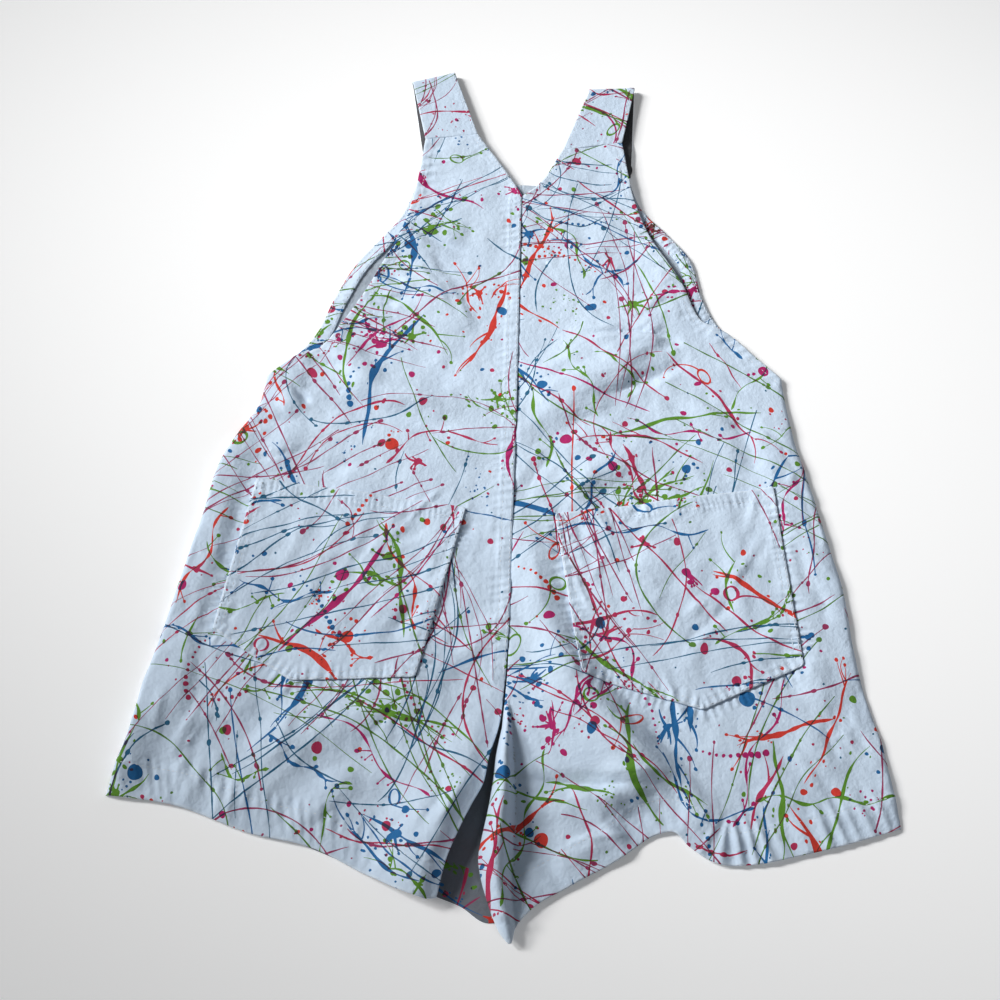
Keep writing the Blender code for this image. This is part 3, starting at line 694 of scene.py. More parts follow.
class Relief:
    """Puckers, crinkle, hems and stitch grooves: heights that only the upper face has."""

    def __init__(self, seed):
        self.rng = random.Random(seed)
        self.waves = random_waves(self.rng, CRINKLE_WAVES, CRINKLE_LENGTHS)
        self.bands = []
        self.puckers = []
        self.sinks = []

    def crinkle(self, x, y):
        """Fine soft waves all over."""
        total = np.zeros(len(x))
        for across, up, phase, share in self.waves:
            total += share * np.sin(across * x + up * y + phase)
        return CRINKLE_HEIGHT * total / math.sqrt(CRINKLE_WAVES / 2)

    def add_band(self, edge, width, rise, pucker=None):
        """A turned and stitched band along an edge, which lies on the edge's left."""
        self.bands.append((edge, width, rise))
        if pucker:
            self.add_pucker(beside(edge, width), *pucker, full=width)

    def add_pucker(self, line, length, height, reach, lean=0.0, full=0.0):
        """Ridges across a stitched line, which on its right may run on to the full width."""
        shifts = [self.rng.uniform(0, math.tau) for _ in range(5)]
        self.puckers.append((line, length, height, reach, lean, full, shifts))

    def pucker(self, x, y, line, length, height, reach, lean, full, shifts):
        """The ridges of one stitched line: uneven in length and in strength."""
        place, off = along_line(x, y, line)
        run = place + lean * off
        turn = math.tau * run / length
        turn = turn + 2.1 * np.sin(run / length / 1.9 + shifts[0])
        turn = turn + 1.2 * np.sin(run / length / 0.83 + shifts[1])
        beat = np.sin(run / length / 2.7 + shifts[2]) * np.sin(run / length / 1.3 + shifts[3])
        strength = 0.62 + 0.38 * beat
        ridge = (0.5 + 0.5 * np.sin(turn)) ** 1.4
        distance = np.abs(off)
        if full:
            distance = np.where(off < 0, np.clip(distance - 0.55 * full, 0, None), distance)
        fade = np.exp(-((distance / reach) ** 2) * 1.6)
        return height * strength * fade * (ridge - 0.35)

    def __call__(self, x, y):
        total = self.crinkle(x, y)
        for line, *rest in self.puckers:
            near = boxed(x, y, line, PUCKER_BOX)
            if near.any():
                total[near] += self.pucker(x[near], y[near], line, *rest)
        for edge, width, rise in self.bands:
            off = np.abs(along_line(x, y, edge)[1])
            total += rise * (1 - smooth((off - width - 0.5) / 1.2))
            groove = (off - width + STITCH_INSET) / STITCH_GROOVE_WIDTH
            total -= STITCH_GROOVE * np.exp(-(groove**2))
        for line, depth, width in self.sinks:
            off = np.abs(along_line(x, y, line)[1])
            total -= depth * (1 - smooth(off / width))
        return total


# ---------------------------------------------------------------- the print
THROWN_COLOURS = ("crimson", "orange_red", "magenta", "green", "blue")
# Each kind of mark: how many there are on one square of this side, in mm, and how often it has
# each of the thrown colours.
PRINT_SQUARE = 100.0
PRINT_MIX = {
    "family": (1.8, (0.42, 0.08, 0.07, 0.19, 0.24)),
    "single": (6.2, (0.34, 0.10, 0.08, 0.26, 0.22)),
    "flick": (2.0, (0.18, 0.20, 0.08, 0.32, 0.22)),
    "drizzle": (1.6, (0.10, 0.20, 0.08, 0.34, 0.28)),
    "loop": (0.6, (0.14, 0.16, 0.05, 0.50, 0.15)),
    "splash": (0.5, (0.22, 0.12, 0.22, 0.22, 0.22)),
    "blot": (1.0, (0.20, 0.22, 0.22, 0.08, 0.28)),
    "chain": (0.6, (0.12, 0.12, 0.20, 0.16, 0.40)),
    "cloud": (1.3, (0.36, 0.14, 0.10, 0.24, 0.16)),
    "lone_drop": (22.0, (0.24, 0.18, 0.18, 0.20, 0.20)),
    "knot": (0.7, (0.10, 0.14, 0.12, 0.42, 0.22)),
}
THINNEST = 0.16             # least half width of a printed line, in mm
THIN_LINE = 0.62            # half width below which a line has the darker ink


def heading_of(angle):
    """The flat direction of an angle."""
    return np.array([math.cos(angle), math.sin(angle)])


def swung(centre, across, up, turn):
    """A place or places given across and up from a centre, turned about it."""
    return (
        centre[0] + across * math.cos(turn) - up * math.sin(turn),
        centre[1] + across * math.sin(turn) + up * math.cos(turn),
    )


class Spatter:
    """A spatter print of thrown lines, flicks, drops and splashes, as polygons with colours.

    Every mark draws its own place, way and sizes, in mm, from one seeded row of random numbers.
    """

    def __init__(self, seed, low, high):
        self.rng = random.Random(seed)
        self.low = low
        self.high = high
        self.shapes = []

    def place(self):
        """Any place in the piece's box."""
        x = self.rng.uniform(self.low[0], self.high[0])
        return np.array([x, self.rng.uniform(self.low[1], self.high[1])])

    def near(self, centre, spread):
        """A place near another."""
        return centre + np.array([self.rng.gauss(0, spread), self.rng.gauss(0, spread)])

    def colour(self, kind):
        """One of the thrown colours, as often as a kind of mark has it."""
        return self.rng.choices(THROWN_COLOURS, PRINT_MIX[kind][1])[0]

    def add(self, colour, polygon):
        self.shapes.append((colour, np.array(polygon, float)))

    def drop(self, colour, centre, radius, stretch=1.0, turn=0.0, wobble=0.05):
        """A round or drawn-out drop, a little uneven round its edge."""
        count = int(np.clip(7 + radius * 4, 9, 26))
        shifts = [self.rng.uniform(0, math.tau) for _ in range(2)]
        points = []
        for index in range(count):
            angle = math.tau * index / count
            uneven = wobble * math.sin(2 * angle + shifts[0])
            size = radius * (1 + uneven + wobble * math.sin(3 * angle + shifts[1]))
            across, up = size * stretch * math.cos(angle), size * math.sin(angle)
            points.append(swung(centre, across, up, turn))
        self.add(colour, points)

    def path(self, start, angle, length, bend, step=4.0, waver=0.0):
        """Points of a thrown line: its heading turns by bend, and wavers a little."""
        count = max(3, round(length / step))
        share = (np.arange(count) + 0.5) / count
        phase, beats = self.rng.uniform(0, math.tau), self.rng.uniform(1.0, 2.6)
        uneven = self.rng.uniform(-0.6, 0.6)
        heading = angle + bend * (share - 0.5) + bend * uneven * (share - 0.5) ** 2 * 2
        heading = heading + waver * np.sin(math.tau * beats * share + phase)
        hops = length / count * np.stack([np.cos(heading), np.sin(heading)], axis=1)
        return np.concatenate([[start], start + np.cumsum(hops, axis=0)])

    def ribbon(self, colour, line, half_widths, chunk=7):
        """A line with a width at each point, as a row of simple polygons."""
        ways = side_ways(line)
        left = line + ways * half_widths[:, None]
        right = line - ways * half_widths[:, None]
        for start in range(0, len(line) - 1, chunk):
            part = slice(start, min(start + chunk, len(line) - 1) + 1)
            self.add(colour, np.concatenate([right[part], left[part][::-1]]))

    def thrown_line(self, colour, start, angle, length, bend, half_width):
        """A thin line, tapered at its start, often with a drop at its end and beads along it."""
        if half_width < THIN_LINE or len(self.shapes) % 2:
            colour = THIN_COLOURS.get(colour, colour)
        line = self.path(start, angle, length, bend, waver=self.rng.uniform(0, 0.16))
        share = np.linspace(0, 1, len(line))
        widths = half_width * (0.5 + 0.5 * np.clip(share * 5, 0, 1)) * (1 - 0.35 * share)
        beats = self.rng.uniform(3, 9)
        widths = widths * (1 + 0.3 * np.sin(beats * math.tau * share + self.rng.uniform(0, math.tau)))
        widths[0] = 0.12
        self.ribbon(colour, line, np.maximum(widths, THINNEST))
        if self.rng.random() < 0.5:
            size = self.rng.uniform(0.9, 2.2)
            self.drop(colour, line[-1], size, self.rng.uniform(1.0, 1.5), angle + bend / 2)
        for _ in range(self.rng.choice((0, 0, 1, 1, 2, 3))):
            at = self.rng.randrange(1, len(line) - 1)
            self.drop(colour, line[at], half_width + self.rng.uniform(0.3, 1.0), 1.6, angle)

    def family(self):
        """Near-parallel lines thrown in one sweep."""
        colour = self.colour("family")
        centre, angle = self.place(), self.rng.uniform(0, math.pi)
        count, spacing = self.rng.randint(3, 7), self.rng.uniform(3.5, 11)
        length, bend = self.rng.uniform(90, 250), self.rng.gauss(0, 0.55)
        fan = self.rng.gauss(0, 0.035)
        flow = heading_of(angle)
        across = np.array([-flow[1], flow[0]])
        for index in range(count):
            rank = index - (count - 1) / 2
            own = angle + fan * rank + self.rng.gauss(0, 0.05)
            size = length * self.rng.uniform(0.35, 1.1)
            start = centre + across * spacing * (rank + self.rng.uniform(-0.4, 0.4))
            start = start - flow * (size / 2 + self.rng.uniform(-0.25, 0.25) * length)
            own_bend = bend * self.rng.uniform(0.5, 1.4)
            self.thrown_line(colour, start, own, size, own_bend, self.rng.uniform(0.32, 0.66))

    def single(self):
        """A line of its own, often with more of a bend."""
        self.thrown_line(
            self.colour("single"), self.place(), self.rng.uniform(0, math.tau),
            self.rng.uniform(30, 160), self.rng.gauss(0, 1.2), self.rng.uniform(0.34, 0.8),
        )

    def flick(self, colour=None, centre=None, size=1.0):
        """A brush-like stroke, swollen in places, with drops thrown off beside it."""
        colour = colour or self.colour("flick")
        angle = self.rng.uniform(0, math.tau)
        length = self.rng.uniform(36, 125) * size
        start = (self.place() if centre is None else centre) - length / 2 * heading_of(angle)
        line = self.path(start, angle, length, self.rng.gauss(0, 0.7), step=1.8, waver=0.14)
        share = np.linspace(0, 1, len(line))
        shape = np.sin(math.pi * np.clip(share * 0.97 + 0.02, 0, 1)) ** 0.7
        lumps = 1 + 0.35 * np.sin(share * self.rng.uniform(9, 17) + self.rng.uniform(0, 6))
        lumps = lumps + 0.22 * np.sin(share * self.rng.uniform(24, 40) + self.rng.uniform(0, 6))
        half = self.rng.uniform(0.9, 2.1) * size
        self.ribbon(colour, line, np.maximum(half * shape * lumps, THINNEST), chunk=5)
        for _ in range(self.rng.randint(3, 8)):
            at = self.rng.randrange(1, len(line) - 1)
            throw = self.rng.choice((-1, 1)) * self.rng.uniform(1.4, 5.5)
            spot = line[at] + side_ways(line)[at] * throw
            self.drop(colour, spot, self.rng.uniform(0.45, 1.15), self.rng.uniform(1, 2.0), angle)
        for _ in range(self.rng.randint(1, 3)):
            at = self.rng.randrange(len(line) // 2, len(line))
            own = angle + self.rng.choice((-1, 1)) * self.rng.uniform(0.25, 0.8)
            tail = self.path(line[at], own, self.rng.uniform(8, 26), self.rng.gauss(0, 0.6), step=2.2)
            self.ribbon(colour, tail, np.linspace(half * 0.55, THINNEST, len(tail)))
            if self.rng.random() < 0.6:
                self.drop(colour, tail[-1], self.rng.uniform(0.7, 1.3), 1.3, own)

    def drizzle(self):
        """A wandering line of uneven width with buds, as from a tilted pot."""
        colour = self.colour("drizzle")
        angle = self.rng.uniform(0, math.tau)
        start, length = self.place(), self.rng.uniform(45, 120)
        line = self.path(start, angle, length, self.rng.gauss(0, 0.9), 2.2, waver=0.42)
        share = np.linspace(0, 1, len(line))
        widths = 0.75 + 0.45 * np.sin(share * 19 + self.rng.uniform(0, 6)) + 0.3 * np.sin(share * 43)
        widths = widths * self.rng.uniform(0.7, 1.1)
        widths[0] = widths[-1] = 0.2
        self.ribbon(colour, line, np.maximum(widths, 0.22), chunk=4)
        for _ in range(self.rng.randint(2, 6)):
            at = self.rng.randrange(1, len(line) - 1)
            own = angle + self.rng.uniform(-2, 2)
            bud = self.path(line[at], own, self.rng.uniform(3, 12), 0.2, step=2.0)
            self.ribbon(colour, bud, np.linspace(0.5, 0.22, len(bud)))
            self.drop(colour, bud[-1], self.rng.uniform(0.7, 1.5), 1.2, own)

    def loop(self):
        """A ring with a tail, from two half rings."""
        colour = self.colour("loop")
        centre, turn = self.place(), self.rng.uniform(0, math.tau)
        wide, high = self.rng.uniform(4.5, 9), self.rng.uniform(2.8, 5)
        thick = self.rng.uniform(0.45, 0.85)
        for half in (0, 1):
            angles = np.linspace(half * math.pi, (half + 1) * math.pi, 13)
            ring = swung(centre, wide * np.cos(angles), high * np.sin(angles), turn)
            line = np.stack(ring, axis=1)
            widths = thick * (1.15 + 0.4 * np.sin(angles * 2 + turn))
            self.ribbon(colour, line, widths, chunk=6)
        own, length = turn + self.rng.uniform(0.6, 1.6), self.rng.uniform(12, 44)
        tail = self.path(line[-1], own, length, self.rng.gauss(0, 0.9), 2.5)
        self.ribbon(colour, tail, np.linspace(thick, 0.2, len(tail)))
        self.drop(colour, tail[-1], self.rng.uniform(0.8, 1.6), 1.2, turn)

    def splash(self, colour=None, centre=None):
        """A blot with thin arms that end in drops."""
        colour = colour or self.colour("splash")
        centre = self.place() if centre is None else centre
        core = self.rng.uniform(1.6, 3.6)
        self.drop(colour, centre, core, self.rng.uniform(1, 1.4), self.rng.uniform(0, 3), 0.12)
        for _ in range(self.rng.randint(3, 7)):
            angle = self.rng.uniform(0, math.tau)
            length = core + self.rng.uniform(2, 11)
            arm = self.path(np.array(centre), angle, length, self.rng.gauss(0, 0.4), step=2.0)
            self.ribbon(colour, arm, np.linspace(1.25, 0.35, len(arm)))
            if self.rng.random() < 0.7:
                self.drop(colour, arm[-1], self.rng.uniform(0.5, 1.2), 1.3, angle)

    def blot(self):
        """A big round drop with a few small ones near it."""
        colour = self.colour("blot")
        centre = self.place()
        size = self.rng.uniform(2.4, 5.2)
        self.drop(colour, centre, size, self.rng.uniform(1, 1.12), self.rng.uniform(0, 3), 0.04)
        for _ in range(self.rng.randint(2, 7)):
            angle, far = self.rng.uniform(0, math.tau), size + self.rng.uniform(1.5, 10)
            spot = centre + far * heading_of(angle)
            self.drop(colour, spot, self.rng.uniform(0.5, 1.5))

    def chain(self):
        """Drops in a curved row, shrinking."""
        colour = self.colour("chain")
        start, angle, length = self.place(), self.rng.uniform(0, math.tau), self.rng.uniform(26, 62)
        line = self.path(start, angle, length, self.rng.gauss(0, 1.0), 4.6)
        first = self.rng.uniform(1.4, 2.4)
        for index, spot in enumerate(line):
            share = index / len(line)
            spot = spot + self.rng.uniform(-0.5, 0.5)
            self.drop(colour, spot, first * (1 - 0.65 * share) * self.rng.uniform(0.8, 1.1))

    def cloud(self):
        """A loose cloud of small drops."""
        colour = self.colour("cloud")
        centre, size = self.place(), self.rng.uniform(6, 20)
        for _ in range(self.rng.randint(7, 20)):
            spot, radius = self.near(centre, size / 2), self.rng.uniform(0.38, 0.95) ** 1.1
            self.drop(colour, spot, radius, self.rng.uniform(1, 1.4), self.rng.uniform(0, 3))

    def lone_drop(self):
        """A drop of its own, most often a small dark one."""
        colour = self.colour("lone_drop")
        radius = min(0.5 + self.rng.expovariate(1 / 0.62), 3.4)
        if radius < 0.9:
            colour = THIN_COLOURS.get(colour, "ink")
        self.drop(colour, self.place(), radius, self.rng.uniform(1, 1.45), self.rng.uniform(0, 3))

    def knot(self):
        """A busy spot: a splash or two, flicks and drops close together in one colour."""
        colour = self.colour("knot")
        centre = self.place()
        self.splash(colour, centre)
        for _ in range(self.rng.randint(1, 3)):
            spot = self.near(centre, 9)
            self.flick(colour, spot, self.rng.uniform(0.4, 0.8))
        for _ in range(self.rng.randint(6, 16)):
            spot, radius = self.near(centre, 13), self.rng.uniform(0.6, 2.2)
            self.drop(colour, spot, radius, self.rng.uniform(1, 1.5), self.rng.uniform(0, 3))


def spatter(seed, outline, density=1.0):
    """The print of one piece, over the box of its outline."""
    low, high = outline.min(axis=0), outline.max(axis=0)
    made = Spatter(seed, low, high)
    squares = (high - low).prod() / PRINT_SQUARE**2
    for kind, (each, _) in PRINT_MIX.items():
        amount = each * squares * density
        count = int(amount) + (made.rng.random() < amount % 1)
        for _ in range(count):
            getattr(made, kind)()
    return made.shapes


# ---------------------------------------------------------------- meshes
BACK_GRIDS = (3.0, 1.45)    # steps of the grid, and of the finer one where there is relief
UNDER_GRIDS = (3.8, 2.2)
UNDER_ZONE_REACH = 9.0      # zones with more than this reach are finer on the under face too
ROW_PITCH = 0.866           # rows of a triangular grid
JITTER = 0.16
EDGE_INSET = 0.7
EDGE_LEVEL = 0.2            # how far through the wall an edge's two rims lie
SAME_PLACE = 1e-4
UV_MARGIN = 2.0


def triangle_grid(low, high, step, rng):
    """Places of a triangular grid over a box, each a little off so that no rows show."""
    rows = int((high[1] - low[1]) / (step * ROW_PITCH)) + 1
    columns = int((high[0] - low[0]) / step) + 1
    x = low[0] + step * (np.arange(columns)[None, :] + 0.5 * (np.arange(rows)[:, None] % 2))
    y = low[1] + step * ROW_PITCH * np.arange(rows)[:, None] + 0 * x
    x = x + rng.uniform(-JITTER, JITTER, x.shape) * step
    y = y + rng.uniform(-JITTER, JITTER, y.shape) * step
    return x.ravel(), y.ravel()


def edge_distance(x, y, outline):
    """Distance of each place from a closed outline."""
    return np.abs(along_line(x, y, np.concatenate([outline, outline[:1]]))[1])


def inner_places(outline, zones, grids, seed):
    """Places within an outline, closer together in the zones: lines with a reach each."""
    rng = np.random.default_rng(seed)
    found = []
    for step in grids:
        x, y = triangle_grid(outline.min(axis=0), outline.max(axis=0), step, rng)
        kept = np.zeros(len(x), bool)
        for line, reach in zones:
            near = boxed(x, y, line, reach) & ~kept
            kept[near] = np.abs(along_line(x[near], y[near], line)[1]) < reach
        if step == grids[0]:
            kept = ~kept
        kept &= inside(x, y, outline)
        x, y = x[kept], y[kept]
        kept = edge_distance(x, y, outline) > EDGE_INSET + 0.3 * step
        found.append(np.stack([x[kept], y[kept]], axis=1))
    return np.concatenate(found)


def inset_row(outline):
    """Places just within an outline, which give its edge a round."""
    row = beside(outline, EDGE_INSET)
    row = row[inside(row[:, 0], row[:, 1], outline)]
    return row[edge_distance(row[:, 0], row[:, 1], outline) > 0.8 * EDGE_INSET]


def signed_area(polygon):
    """Above 0 for a polygon that runs anticlockwise."""
    x, y = polygon[:, 0], polygon[:, 1]
    return 0.5 * float(np.sum(x * np.roll(y, -1) - y * np.roll(x, -1)))


def triangulated(outline, shapes, places, cuts=()):
    """Triangles over an outline that keep to the edges of shapes: places, corners and colours."""
    verts, edges, faces, boxes, colours = [], [], [], [], []
    for colour, polygon in [(None, outline), *shapes]:
        if signed_area(polygon) < 0:
            polygon = polygon[::-1]
        faces.append(list(range(len(verts), len(verts) + len(polygon))))
        verts.extend(polygon)
        boxes.append((*(polygon.min(axis=0) - 0.01), *(polygon.max(axis=0) + 0.01)))
        colours.append(colour)
    for cut in cuts:
        first = len(verts)
        verts.extend(cut)
        edges.extend((first + at, first + at + 1) for at in range(len(cut) - 1))
    verts.extend(places)
    result = delaunay_2d_cdt([Vector(vert) for vert in verts], edges, faces, 1, SAME_PLACE, True)
    points = np.array([tuple(vert) for vert in result[0]], float)
    corners, shown = [], []
    for corner, owners in zip(result[2], result[5]):
        if 0 not in owners:
            continue
        middle = points[list(corner)].mean(axis=0)
        own = set()
        for owner in owners:
            box = boxes[owner]
            if owner and box[0] <= middle[0] <= box[2] and box[1] <= middle[1] <= box[3]:
                own.add(colours[owner])
        corners.append(corner)
        shown.append(mixed_colour(own))
    return points, np.array(corners, int), shown


def mixed_colour(own):
    """The colour where shapes lie over each other."""
    if not own:
        return "cloth"
    if len(own) == 1:
        return next(iter(own))
    return "overlap_cool" if COOL_COLOURS & own else "overlap_warm"


def rim_of(corners):
    """The closed loop of edges that only one triangle has, in the triangles' own direction."""
    edges = np.concatenate([corners[:, [0, 1]], corners[:, [1, 2]], corners[:, [2, 0]]])
    owners = np.tile(np.arange(len(corners)), 3)
    keys = np.sort(edges, axis=1)
    _, first, counts = np.unique(keys, axis=0, return_index=True, return_counts=True)
    lone = first[counts == 1]
    following = {int(edges[at][0]): (int(edges[at][1]), int(owners[at])) for at in lone}
    loop, sides, at = [], [], min(following)
    while at in following:
        after, owner = following.pop(at)
        loop.append(at)
        sides.append(owner)
        at = after
    if following:
        raise RuntimeError(f"{len(following)} stray rim edges")
    return np.array(loop), sides


def only_used(flat, corners, loop):
    """Places without the ones that no triangle has, and the corners and loop to match."""
    used = np.unique(corners)
    place_of = np.full(len(flat), -1)
    place_of[used] = np.arange(len(used))
    return flat[used], place_of[corners], place_of[loop]


def under_face(rim, zones, seed):
    """Triangles within a rim: their places and corners, and where each rim place went."""
    wide = [(line, reach) for line, reach in zones if reach > UNDER_ZONE_REACH]
    below = inner_places(rim, wide, UNDER_GRIDS, seed)
    verts = [Vector(vert) for vert in np.concatenate([rim, below])]
    result = delaunay_2d_cdt(verts, [], [list(range(len(rim)))], 1, SAME_PLACE, True)
    flat = np.array([tuple(vert) for vert in result[0]], float)
    corners = np.array([face for face, owners in zip(result[2], result[5]) if 0 in owners], int)
    place_of = {origin: index for index, origins in enumerate(result[3]) for origin in origins}
    return flat, corners, np.array([place_of[at] for at in range(len(rim))])


def lay_out(mesh, upper, under, walls, loop, under_loop):
    """The bake's layout: the upper face on the left, and the under face with the walls on the right."""
    (flat, corners), (under_flat, under_corners) = upper, under
    low = flat.min(axis=0) - UV_MARGIN
    span = max(2 * np.ptp(flat[:, 0]), np.ptp(flat[:, 1])) + 4 * UV_MARGIN
    top_uv = (flat - low) / span
    under_uv = (under_flat - low) / span + (0.5, 0)
    rim = flat[loop]
    outwards = (rim - low) / span - side_ways(rim) / span
    rim_uv = dict(zip(under_loop.tolist(), outwards))
    wall_uv = np.empty((len(walls), 4, 2))
    for row, (b, a, under_a, under_b) in enumerate(walls.tolist()):
        wall_uv[row] = top_uv[b], top_uv[a], rim_uv[under_a - len(flat)], rim_uv[under_b - len(flat)]
    parts = [top_uv[corners], wall_uv, under_uv[under_corners]]
    uv = np.concatenate([part.reshape(-1, 2) for part in parts])
    layer = mesh.uv_layers.new(name="OFBake")
    layer.uv.foreach_set("vector", uv.astype(np.float32).ravel())


def cloth(
    name, outline, faces_of, materials, *, shapes=(), zones=(), cuts=(), wear_and_shade=None, recolour=None,
    under="wrong side", seed=1, grids=BACK_GRIDS,
):
    """A closed thin shell: faces_of gives the under and upper place of each flat place."""
    places = np.concatenate([inner_places(outline, zones, grids, seed), inset_row(outline)])
    flat, corners, shown = triangulated(outline, shapes, places, cuts)
    if recolour is not None:
        middles = flat[corners].mean(axis=1)
        shown = recolour(middles[:, 0], middles[:, 1], shown)
    loop, sides = rim_of(corners)
    flat, corners, loop = only_used(flat, corners, loop)
    under_flat, under_corners, under_loop = under_face(flat[loop], zones, seed + 1)
    under_corners = under_corners[:, ::-1]

    lower, upper = faces_of(flat[:, 0], flat[:, 1])
    edge_low, edge_high = lower[loop], upper[loop]
    upper[loop] = edge_low + (edge_high - edge_low) * (1 - EDGE_LEVEL)
    lower, _ = faces_of(under_flat[:, 0], under_flat[:, 1])
    lower[under_loop] = edge_low + (edge_high - edge_low) * EDGE_LEVEL
    points = np.concatenate([upper, lower])
    first = len(flat)

    under_next = np.roll(under_loop, -1)
    kept = under_loop != under_next
    walls = np.stack([np.roll(loop, -1), loop, under_loop + first, under_next + first], axis=1)[kept]
    slot_of = {key: index for index, key in enumerate(PRINT_ORDER)}
    slots = [slot_of[colour] for colour in shown]
    slots += [slots[side] for side, keep in zip(sides, kept) if keep]
    slots += [slot_of[under]] * len(under_corners)

    mesh = bpy.data.meshes.new(name)
    faces = corners.tolist() + walls.tolist() + (under_corners + first).tolist()
    mesh.from_pydata(to_world(points).tolist(), [], faces)
    mesh.polygons.foreach_set("material_index", np.array(slots, np.int32))
    mesh.polygons.foreach_set("use_smooth", np.ones(len(slots), bool))
    lay_out(mesh, (flat, corners), (under_flat, under_corners), walls, loop, under_loop)
    # The per-place attribute mixes in a material's third tone: wear along edges, and on the front's wrong
    # side painted shade inside the legs.
    worn_and_shaded = np.zeros(len(points), np.float32)
    if wear_and_shade is not None:
        worn_and_shaded[:first] = wear_and_shade(flat[:, 0], flat[:, 1])
    mesh.attributes.new("worn_and_shaded", "FLOAT", "POINT").data.foreach_set("value", worn_and_shaded)
    return finished(name, mesh, [materials[key] for key in PRINT_ORDER])


def finished(name, mesh, surfaces):
    """The object of a mesh that is in place, with its materials."""
    mesh.validate(verbose=False)
    made = bpy.data.objects.new(name, mesh)
    bpy.context.scene.collection.objects.link(made)
    for surface in surfaces:
        mesh.materials.append(surface)
    return made


STITCH_SIDES = 6
STITCH_LENGTH = 2.5
STITCH_PITCH = 3.3
STITCH_UNEVEN = 0.25
STITCH_RADIUS = 0.30
# A stitch's rings: how far along it from its middle, size and height.
STITCH_ENDS = ((-0.5, 0.5, -0.24), (-0.22, 1.0, -0.02), (0.22, 1.0, -0.02), (0.5, 0.5, -0.24))


def stitch_faces(first):
    """The faces of one stitch, a closed tube, whose places start at first."""
    faces = []
    last = first + (len(STITCH_ENDS) - 1) * STITCH_SIDES
    for ring in range(first, last, STITCH_SIDES):
        for turn in range(STITCH_SIDES):
            a, b = ring + turn, ring + (turn + 1) % STITCH_SIDES
            faces.append((a, a + STITCH_SIDES, b + STITCH_SIDES, b))
    faces.append(tuple(first + turn for turn in range(STITCH_SIDES)))
    faces.append(tuple(last + turn for turn in reversed(range(STITCH_SIDES))))
    return faces


def stitches(name, lines, outline, faces_of, surface, seed):
    """Rows of raised stitches on the upper face, along flat lines."""
    rng = random.Random(seed)
    points, faces = [], []
    for line in lines:
        reach = lengths_along(line)
        count = int(reach[-1] / STITCH_PITCH)
        uneven = [rng.uniform(-STITCH_UNEVEN, STITCH_UNEVEN) for _ in range(count)]
        at = (np.arange(count) + 0.5) * STITCH_PITCH + np.array(uneven)
        at = at[inside(np.interp(at, reach, line[:, 0]), np.interp(at, reach, line[:, 1]), outline)]
        ends = []
        for shift in (-STITCH_LENGTH / 2, STITCH_LENGTH / 2):
            x = np.interp(at + shift, reach, line[:, 0])
            y = np.interp(at + shift, reach, line[:, 1])
            lower, upper = faces_of(x, y)
            up = upper - lower
            ends.append((upper, up / np.linalg.norm(up, axis=1)[:, None]))
        (start, up), (finish, _) = ends
        along = finish - start
        across = np.cross(up, along / np.linalg.norm(along, axis=1)[:, None])
        for index in range(len(at)):
            faces.extend(stitch_faces(len(points)))
            for share, size, rise in STITCH_ENDS:
                middle = start[index] + (finish[index] - start[index]) * (0.5 + share) + up[index] * rise
                for turn in range(STITCH_SIDES):
                    angle = math.tau * turn / STITCH_SIDES
                    way = across[index] * math.cos(angle) + up[index] * math.sin(angle)
                    points.append(middle + way * STITCH_RADIUS * size)
    mesh = bpy.data.meshes.new(name)
    points = np.array(points)
    points[:, 2] = np.maximum(points[:, 2], TABLE_GAP)
    mesh.from_pydata(to_world(points).tolist(), [], faces)
    mesh.polygons.foreach_set("use_smooth", np.ones(len(faces), bool))
    return finished(name, mesh, [surface])




# ---------------------------------------------------------------- materials
def new_material(name, colour, roughness):
    """A material and its shader, with the colour and roughness on the shader's own sockets."""
    made = bpy.data.materials.new(name)
    made.use_nodes = True
    shader = made.node_tree.nodes["Principled BSDF"]
    shader.inputs["Base Color"].default_value = (*colour, 1)
    shader.inputs["Roughness"].default_value = roughness
    made.diffuse_color = (*colour, 1)
    return made, shader


def add_node(tree, kind, **settings):
    """A shader node, with its inputs set by name."""
    node = tree.nodes.new(kind)
    for name, value in settings.items():
        node.inputs[name.replace("_", " ").title()].default_value = value
    return node


def add_texture(tree, kind, **settings):
    """A texture fixed to the object, with its inputs set by name."""
    node = add_node(tree, "ShaderNodeTex" + kind, **settings)
    tree.links.new(object_places(tree), node.inputs["Vector"])
    return node


def object_places(tree):
    """The object's own coordinates, from one node for the whole material."""
    node = tree.nodes.get("places")
    if node is None:
        node = tree.nodes.new("ShaderNodeTexCoord")
        node.name = "places"
    return node.outputs["Object"]


def add_bump(tree, shader, texture, strength, distance):
    """A bump from a texture, on top of the bumps that the shader already has."""
    bump = add_node(tree, "ShaderNodeBump", strength=strength, distance=distance)
    tree.links.new(texture.outputs["Fac"], bump.inputs["Height"])
    for link in shader.inputs["Normal"].links:
        tree.links.new(link.from_socket, bump.inputs["Normal"])
    tree.links.new(bump.outputs["Normal"], shader.inputs["Normal"])


def weave_bump(made, shader, weave=0.5):
    """Twill's diagonal ribs over a fine dry crinkle."""
    tree = made.node_tree
    ribs = add_texture(tree, "Wave", scale=490.0, distortion=0.6, detail=1.0)
    ribs.bands_direction = "DIAGONAL"
    crinkle = add_texture(tree, "Noise", scale=240.0, detail=6.0, roughness=0.66)
    add_bump(tree, shader, crinkle, 0.85, 0.0012)
    add_bump(tree, shader, ribs, weave, 0.00008)


